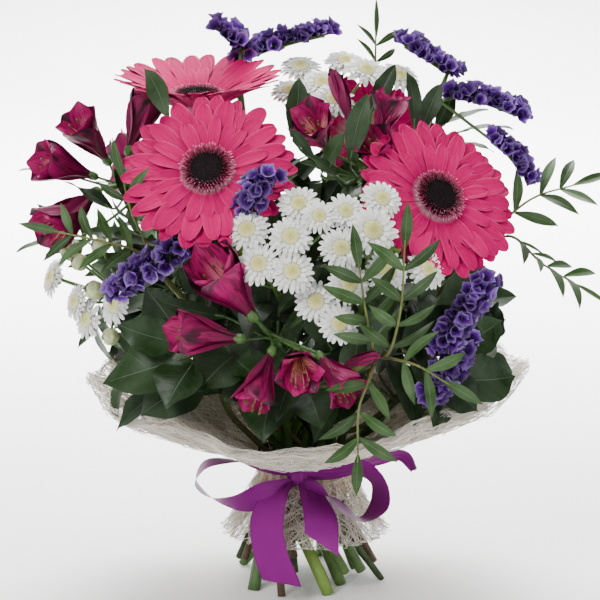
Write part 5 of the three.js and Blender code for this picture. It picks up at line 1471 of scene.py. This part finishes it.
def sheet_place(azimuth, share, lift=0.0):
    """A place on the sisal sheet: share runs from -1 at the hem through 0 at the neck to 1 at the rim."""
    azimuth, share = np.broadcast_arrays(np.asarray(azimuth, float), np.asarray(share, float))
    rim = rim_at(azimuth)
    rise, fall = np.clip(share, 0, None), np.clip(-share, 0, None)
    flared, hanging = np.clip(rise * 3, 0, 1), np.clip(fall * 3, 0, 1)
    neck_half = (NECK_HIGH - NECK_LOW) / 2
    ruffle = -3 * np.sin(9 * azimuth) * rise**2
    hollow = 0.8 * (0.1 * rim[..., 0] - 8) * np.sin(np.pi * np.clip(rise, 0, 1.2))
    radius = NECK_RADIUS + (rim[..., 0] - NECK_RADIUS) * rise + (SKIRT_RADIUS - NECK_RADIUS) * fall**1.5
    height = ((NECK_LOW + NECK_HIGH) / 2 + neck_half * np.clip(share * 14, -1, 1)
              + (rim[..., 1] - NECK_HIGH) * rise - hollow + (SKIRT_HEM - NECK_LOW) * fall + ruffle)
    folds = 0.4 + 0.5 * flared + 1.6 * hanging
    gather = folds * (np.sin(31 * azimuth + 2 * share) + 0.6 * np.sin(53 * azimuth + 1))
    front = FRONT_LIP * np.clip(-np.sin(azimuth), 0, 1)**4 * rise**2
    height = height + gather * np.clip(rise * 4, 0, 1) + front
    radius = radius + (gather + lift) * (1 - 0.75 * flared) - lift * 0.55 * flared
    height = height + lift * flared
    return np.stack([radius * np.cos(azimuth), radius * np.sin(azimuth), height], -1)


def sisal_sheet(materials):
    """The felt itself, from below the neck to its torn rim, shorter at the sides than in front."""
    columns = 310
    azimuth = 2 * np.pi * np.arange(columns) / columns
    shares = np.concatenate([np.linspace(-0.32, -0.05, 6), np.linspace(0, 1, 20)])[:, None]
    torn = 0.02 * np.sin(47 * azimuth) + 0.015 * np.sin(113 * azimuth + 1)
    reach = 0.6 + 0.34 * np.abs(np.sin(azimuth))**1.4
    grid = shares * np.where(shares > 0, reach[None], 1) + torn[None] * (shares > 0.5)
    skin = Skin()
    # along grows from the neck outwards; the felt's finish paints shade, in tan, where it is low.
    skin.rounds(sheet_place(azimuth[None], grid), along=np.abs(shares)[None])
    return skin.build("sisal_sheet", materials)


def sisal_fibres(name, materials, count, shares, length, seed):
    """Loose fibres lying on and in the sheet, most of them running out from the neck."""
    rng = np.random.default_rng(seed)
    rows = np.linspace(0, 1, 6)
    hump = np.sin(np.pi * rows)
    start = rng.uniform(shares[0], shares[1], count)
    azimuth = rng.uniform(0, 2 * np.pi, count)
    lean = rng.normal(0, 0.8, count)
    reach = rng.uniform(*length, count)
    radius = np.linalg.norm(sheet_place(azimuth, start)[:, :2], axis=1)
    span = np.where(start > 0, COLLAR_SPAN, SKIRT_SPAN)
    along = start[:, None] + np.sign(start)[:, None] * (reach * np.cos(lean) / span)[:, None] * rows
    stray = rng.normal(0, 0.03, (count, 1)) * hump
    turn = azimuth[:, None] + (reach * np.sin(lean) / radius)[:, None] * rows + stray
    along = np.clip(along, *FARTHEST_FIBRES) + rng.uniform(-0.015, 0.015, (count, 1))
    base = rng.uniform(-1.6, 1.6, (count, 1))
    lift = base + rng.uniform(0, 2.6, (count, 1)) * hump * np.sign(base)
    paths = sheet_place(turn, along, lift)
    thick = rng.uniform(0.16, 0.38, count)[:, None] * vec([0.8, 1, 1, 1, 0.8, 0.3])
    skin = Skin()
    skin.rounds(tubes(paths, thick, 3), tint=rng.uniform(0, 1, count), slot=1)
    return skin.build(name, materials)


# Ribbon

RIBBON_ROWS = 44
TAIL_CUTS = {"left_tail": 0.32, "right_tail": 0.4}
BAND_RADIUS = 31.85
BAND_HEIGHT = 83
BAND_HALF_WIDTH = 5.5
KNOT_WRAP = [(-5, -32, 87.2), (-5, -39, 87.4), (-5, -43.6, 84), (-5, -44.4, 80.5), (-5, -43.6, 77),
             (-5, -39, 73.6), (-5, -32, 73.8)]
KNOT_WIDTH = 15
KNOT_LENGTH = 45


def ribbon_strip(skin, name, width):
    """One loop, tail or end of the ribbon, pleated where it is drawn in; gives back its length."""
    table = vec([[*place, *unit(across), share] for place, across, share in STRIPS[name]])
    line = smooth_line(table, RIBBON_ROWS)
    spine, across, share = line[:, :3], line[:, 3:6], np.clip(line[:, 6:7], 0.2, 1)
    way = unit(np.gradient(spine, axis=0))
    across = unit(across - way * (across * way).sum(1, keepdims=True))
    normal = np.cross(across, way)
    columns = np.linspace(-1, 1, 9)
    steps = np.linspace(0, 1, RIBBON_ROWS)[:, None]
    pleat = (1 - share) * 2.2 * np.cos(3 * np.pi * columns) + 0.7 * share * columns**2 * np.sin(5 * steps + 1)
    flat = spine[:, None] + across[:, None] * (share * width / 2 * columns)[..., None]
    points = flat + normal[:, None] * pleat[..., None]
    if name in TAIL_CUTS:
        points = points + way[:, None] * (TAIL_CUTS[name] * width * columns * steps**6)[..., None]
    skin.grids(points)
    return np.linalg.norm(np.diff(spine, axis=0), axis=1).sum()


def ribbon_piece(material, width):
    """The band round the neck, the pleated knot, two loops, two tails and the short loose end."""
    skin = Skin()
    length = sum(ribbon_strip(skin, name, width) for name in STRIPS)
    turns = np.linspace(0, 2 * np.pi, 97)[:, None]
    rows = np.linspace(-1, 1, 9)[None]
    radius = BAND_RADIUS + 0.35 * np.sin(3 * np.pi * rows + 2 * np.sin(turns))
    height = BAND_HEIGHT + BAND_HALF_WIDTH * rows * np.ones_like(turns)
    skin.grids(np.stack([radius * np.cos(turns), radius * np.sin(turns), height], -1))
    length += 2 * np.pi * BAND_RADIUS
    wrap = smooth_line(KNOT_WRAP, 28)
    squeeze = KNOT_WIDTH * (1 - 0.12 * np.sin(np.pi * np.linspace(0, 1, 28)))
    skin.grids(blades(wrap, (0, -1, 0.01), squeeze[None], columns=17, cup=-0.35, grooves=4, depth=0.55))
    return skin.build("satin_ribbon", [material]), length + KNOT_LENGTH


# Studio

def look_at(thing, place, target):
    """Stands a camera or a lamp at a place, turned to its target."""
    thing.location = place
    thing.rotation_euler = (Vector(target) - Vector(place)).to_track_quat("-Z", "Y").to_euler()


# Lamps, in metres: place, target, size, power as a share of the key light, and spread in degrees.
MIDDLE = (0, 0, 0.2)
LIGHTS = {
    "key": ((-1.3, -1.9, 1.9), MIDDLE, 1.3, 1.0, 180),
    "fill": ((1.7, -1.5, 1.0), MIDDLE, 1.5, 0.25, 180),
    "top": ((0.1, 0.3, 2.3), MIDDLE, 1.2, 0.45, 180),
    "backdrop": ((0, 2.3, 2.4), (0, 1.9, 0), 2.4, 3.5, 90),
}


def add_light(name, key_power):
    """One round soft lamp."""
    place, target, size, share, spread = LIGHTS[name]
    lamp = bpy.data.lights.new(name, "AREA")
    lamp.spread = math.radians(spread)
    lamp.shape = "DISK"
    lamp.size = size
    lamp.energy = share * key_power
    thing = bpy.data.objects.new(name, lamp)
    bpy.context.scene.collection.objects.link(thing)
    look_at(thing, place, target)


SENSOR_WIDTH = 36
FOCAL_LENGTH = 143.28
VIEW_TARGET = (-3.35, 0, 191)
VIEW_DISTANCE = 1.6
VIEW_RISE = 10


def add_camera():
    """The photograph's view: a little above, square on to the front, from well back."""
    lens = bpy.data.cameras.new("camera")
    lens.sensor_width = SENSOR_WIDTH
    lens.lens = FOCAL_LENGTH
    camera = bpy.data.objects.new("camera", lens)
    bpy.context.scene.collection.objects.link(camera)
    target, rise = in_frame(VIEW_TARGET), math.radians(VIEW_RISE)
    look_at(camera, target + vec((0, -math.cos(rise), math.sin(rise))) * VIEW_DISTANCE, target)
    bpy.context.scene.camera = camera


def pale_world(brightness):
    """Even white light from all round."""
    world = bpy.data.worlds.new("pale studio")
    bpy.context.scene.world = world
    world.use_nodes = True
    background = world.node_tree.nodes["Background"]
    background.inputs["Color"].default_value = (1, 1, 1, 1)
    background.inputs["Strength"].default_value = brightness


FLOOR_REACH = 6000
FLOOR_PROFILE = [(-FLOOR_REACH, 0), (0, 0), (2400, 0), (2900, 60), (3250, 300), (3400, 700), (3400, 3500)]


def floor_sheet():
    """A wide pale floor that curves up behind."""
    finish = Finish("pale floor", 0.6, specular=0.2)
    material = finish.paint(finish.ramp(finish.noise(4.0), (0.3, 0.9), (0.7, 0.93)))
    skin = Skin()
    across = np.linspace(-FLOOR_REACH, FLOOR_REACH, 9)
    skin.grids([[(x, y, z) for x in across] for y, z in FLOOR_PROFILE])
    return skin.build("floor", [material])


# Sizes and colours that a user may change

def colour_property(name, description, code):
    """A colour that a user may change, given as a hex colour."""
    return bpy.props.FloatVectorProperty(name=name, description=description, default=linear(code),
                                         subtype="COLOR", size=3, min=0, max=1)


class BouquetBloomSettings(bpy.types.PropertyGroup):
    """Colours and fullness of the blooms"""
    gerbera_colour: colour_property("Gerbera", "Colour of the gerbera petals", "C80062")
    chrysanthemum_colour: colour_property("Chrysanthemum", "Colour of the chrysanthemum petals", "FBFBF8")
    eye_colour: colour_property("Chrysanthemum eye", "Colour of the chrysanthemum centres", "D8D25E")
    alstroemeria_colour: colour_property("Alstroemeria", "Colour of the alstroemeria tepals", "A00A5C")
    statice_colour: colour_property("Statice", "Colour of the papery statice calyces", "66209C")
    florets_per_mm: bpy.props.FloatProperty(
        name="Florets", description="Statice florets per millimetre of cluster", default=1.5, min=0.3, max=3)


class BouquetFoliageSettings(bpy.types.PropertyGroup):
    """Colours of the leaves"""
    pistacia_colour: colour_property("Pistacia", "Colour of the pistacia leaflets", "2C4E12")
    salal_colour: colour_property("Salal", "Colour of the salal leaves", "1B390C")
    alstroemeria_leaf_colour: colour_property(
        "Alstroemeria leaf", "Colour of the alstroemeria leaves", "213E10")


class BouquetWrapSettings(bpy.types.PropertyGroup):
    """Sisal and ribbon"""
    sisal_colour: colour_property("Sisal", "Colour of the sisal fibres", "F4EBDA")
    collar_fibres: bpy.props.IntProperty(
        name="Collar fibres", description="Loose fibres on the flared collar",
        default=5200, min=100, max=6000)
    skirt_fibres: bpy.props.IntProperty(
        name="Skirt fibres", description="Loose fibres hanging below the neck",
        default=1300, min=100, max=4000)
    ribbon_colour: colour_property("Ribbon", "Colour of the satin ribbon", "801078")
    ribbon_width: bpy.props.FloatProperty(
        name="Ribbon width", description="Width of the satin ribbon", default=0.022, min=0.01, max=0.04,
        unit="LENGTH", subtype="DISTANCE")


class BouquetStudioSettings(bpy.types.PropertyGroup):
    """Light round the bouquet"""
    key_power: bpy.props.FloatProperty(
        name="Key light", description="Power of the large soft light", default=66, min=0, unit="POWER")
    surround: bpy.props.FloatProperty(
        name="Surround", description="Brightness of the pale surroundings", default=0.34, min=0, max=3)


def dress(piece, slot, *nodes):
    """Fixes a piece to the bouquet in place of its plain solids."""
    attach(piece, "root")
    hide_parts(*nodes)
    return piece


class BOUQUET_OT_gerberas(bpy.types.Operator):
    """Builds the gerbera blooms and their smooth stems"""
    bl_idname = "bouquet.gerberas"
    bl_label = "Gerberas"

    def execute(self, context):
        finishes = gerbera_finishes(context.scene.bouquet_blooms.gerbera_colour)
        stem = stem_finish("gerbera stem", "6C8B34", "7E9E46", "55742A", 0.55)
        for name in GERBERAS:
            dress(gerbera_bloom(name, finishes), "gerbera_petals", f"{name}_petals", f"{name}_disc")
            dress(plain_stem(name, stem), "gerbera_stem", f"{name}_stem")
        return {"FINISHED"}


class BOUQUET_OT_chrysanthemums(bpy.types.Operator):
    """Builds the white spray chrysanthemums and their stems"""
    bl_idname = "bouquet.chrysanthemums"
    bl_label = "Chrysanthemums"

    def execute(self, context):
        settings = context.scene.bouquet_blooms
        finishes = chrysanthemum_finishes(settings.chrysanthemum_colour, settings.eye_colour)
        stem = stem_finish("chrysanthemum stem", "4E6B2C", "55763A", "33491F", 0.6)
        for name in HEADS:
            dress(chrysanthemum_spray(name, finishes), "chrysanthemum_white", f"{name}_heads")
            dress(plain_stem(name, stem, 0.06), "green_stem", f"{name}_stem")
        return {"FINISHED"}


class BOUQUET_OT_alstroemerias(bpy.types.Operator):
    """Builds the alstroemeria blooms, buds and leafy stems"""
    bl_idname = "bouquet.alstroemerias"
    bl_label = "Alstroemerias"

    def execute(self, context):
        finishes = alstroemeria_finishes(context.scene.bouquet_blooms.alstroemeria_colour)
        green = context.scene.bouquet_foliage.alstroemeria_leaf_colour
        leaves = [leaf_finish("alstroemeria leaf", green, 0.45, 0.04, 0.5, 60),
                  stem_finish("leafy stem", "46662C", "3F6130", "29431E")]
        for name in BLOOMS:
            dress(alstroemeria_umbel(name, finishes), "alstroemeria_magenta", f"{name}_blooms")
            dress(alstroemeria_leaves(name, leaves), "green_stem", name)
        return {"FINISHED"}


class BOUQUET_OT_statice(bpy.types.Operator):
    """Builds the papery statice sprays and their winged stems"""
    bl_idname = "bouquet.statice"
    bl_label = "Statice"

    def execute(self, context):
        settings = context.scene.bouquet_blooms
        finishes = statice_finishes(settings.statice_colour)
        stem = stem_finish("statice stem", "44632E", "4C6B34", "2F4A22", 0.6)
        for name in CLUSTERS:
            dress(statice_spray(name, finishes, settings.florets_per_mm), "statice_violet", f"{name}_florets")
            dress(plain_stem(name, stem, 0.16), "green_stem", f"{name}_stem")
        return {"FINISHED"}


class BOUQUET_OT_pistacia(bpy.types.Operator):
    """Builds the pistacia branches with their slim opposite leaflets"""
    bl_idname = "bouquet.pistacia"
    bl_label = "Pistacia"

    def execute(self, context):
        green = context.scene.bouquet_foliage.pistacia_colour
        finishes = [leaf_finish("pistacia leaflet", green, 0.48, 0.07, 12, 60),
                    stem_finish("pistacia stem", "4A3A20", "5E6A2C", "4C2A1E", 0.6)]
        for name in FRONDS:
            dress(pistacia_branch(name, finishes), "pistacia_leaf", name)
        return {"FINISHED"}


class BOUQUET_OT_salal(bpy.types.Operator):
    """Builds the salal branches with their broad glossy leaves"""
    bl_idname = "bouquet.salal"
    bl_label = "Salal"

    def execute(self, context):
        green = context.scene.bouquet_foliage.salal_colour
        finishes = [leaf_finish("salal leaf", green, 0.36, 0.03, 7, 40, 0.16),
                    stem_finish("salal stem", "33451F", "4A5228", "2A2414", 0.7)]
        for name in SALAL_LEAVES:
            dress(salal_branch(name, finishes), "salal_leaf", name)
        return {"FINISHED"}


class BOUQUET_OT_tie(bpy.types.Operator):
    """Winds the twine round the stems"""
    bl_idname = "bouquet.tie"
    bl_label = "Twine tie"

    def execute(self, context):
        dress(twine_tie(twine_finish()), "twine", "binding_tie")
        return {"FINISHED"}


class BOUQUET_OT_sisal(bpy.types.Operator):
    """Gathers the sisal sheet into its collar and skirt"""
    bl_idname = "bouquet.sisal"
    bl_label = "Sisal collar"

    def execute(self, context):
        settings = context.scene.bouquet_wrap
        finishes = sisal_finishes(settings.sisal_colour)
        sheet = dress(sisal_sheet(finishes), "sisal", "sisal_collar")
        fibres = [sisal_fibres("collar_fibres", finishes, settings.collar_fibres, (0.06, 1.0), (18, 60), 5),
                  sisal_fibres("skirt_fibres", finishes, settings.skirt_fibres, (-0.9, -0.04), (14, 40), 6)]
        for piece in fibres:
            dress(piece, "sisal", "sisal_collar")
        return {"FINISHED"}


class BOUQUET_OT_ribbon(bpy.types.Operator):
    """Ties the satin ribbon round the neck"""
    bl_idname = "bouquet.ribbon"
    bl_label = "Ribbon"

    def execute(self, context):
        settings = context.scene.bouquet_wrap
        width = settings.ribbon_width
        piece, length = ribbon_piece(satin_finish(settings.ribbon_colour), width / MM)
        dress(piece, "satin", "ribbon")
        return {"FINISHED"}


class BOUQUET_OT_studio(bpy.types.Operator):
    """Sets the camera, the soft lights and the pale floor"""
    bl_idname = "bouquet.studio"
    bl_label = "Studio"

    def execute(self, context):
        settings = context.scene.bouquet_studio
        add_camera()
        pale_world(settings.surround)
        floor_sheet()
        for name in LIGHTS:
            add_light(name, settings.key_power)
        return {"FINISHED"}


OPERATORS = (BOUQUET_OT_studio, BOUQUET_OT_gerberas, BOUQUET_OT_chrysanthemums, BOUQUET_OT_alstroemerias,
             BOUQUET_OT_statice, BOUQUET_OT_pistacia, BOUQUET_OT_salal, BOUQUET_OT_tie, BOUQUET_OT_sisal,
             BOUQUET_OT_ribbon)
SETTINGS = {"bouquet_blooms": BouquetBloomSettings, "bouquet_foliage": BouquetFoliageSettings,
            "bouquet_wrap": BouquetWrapSettings, "bouquet_studio": BouquetStudioSettings}


class BOUQUET_PT_panel(bpy.types.Panel):
    """The bouquet's pieces, with their sizes and colours"""
    bl_idname = "BOUQUET_PT_panel"
    bl_label = "Mixed bouquet"
    bl_space_type = "VIEW_3D"
    bl_region_type = "UI"
    bl_category = "Bouquet"

    def draw(self, context):
        for name, settings in SETTINGS.items():
            box = self.layout.box()
            for key in settings.__annotations__:
                box.prop(getattr(context.scene, name), key)
        for operator in OPERATORS:
            self.layout.operator(operator.bl_idname)


def register():
    """Adds the settings, the operators and the panel."""
    for kind in (*SETTINGS.values(), *OPERATORS, BOUQUET_PT_panel):
        bpy.utils.register_class(kind)
    for name, settings in SETTINGS.items():
        setattr(bpy.types.Scene, name, bpy.props.PointerProperty(type=settings))


def unregister():
    """Takes them away again."""
    for name in SETTINGS:
        delattr(bpy.types.Scene, name)
    for kind in reversed((*SETTINGS.values(), *OPERATORS, BOUQUET_PT_panel)):
        bpy.utils.unregister_class(kind)


def main():
    """Builds every piece."""
    register()
    for operator in OPERATORS:
        group, name = operator.bl_idname.split(".")
        getattr(getattr(bpy.ops, group), name)()


if __name__ == "__main__":
    main()
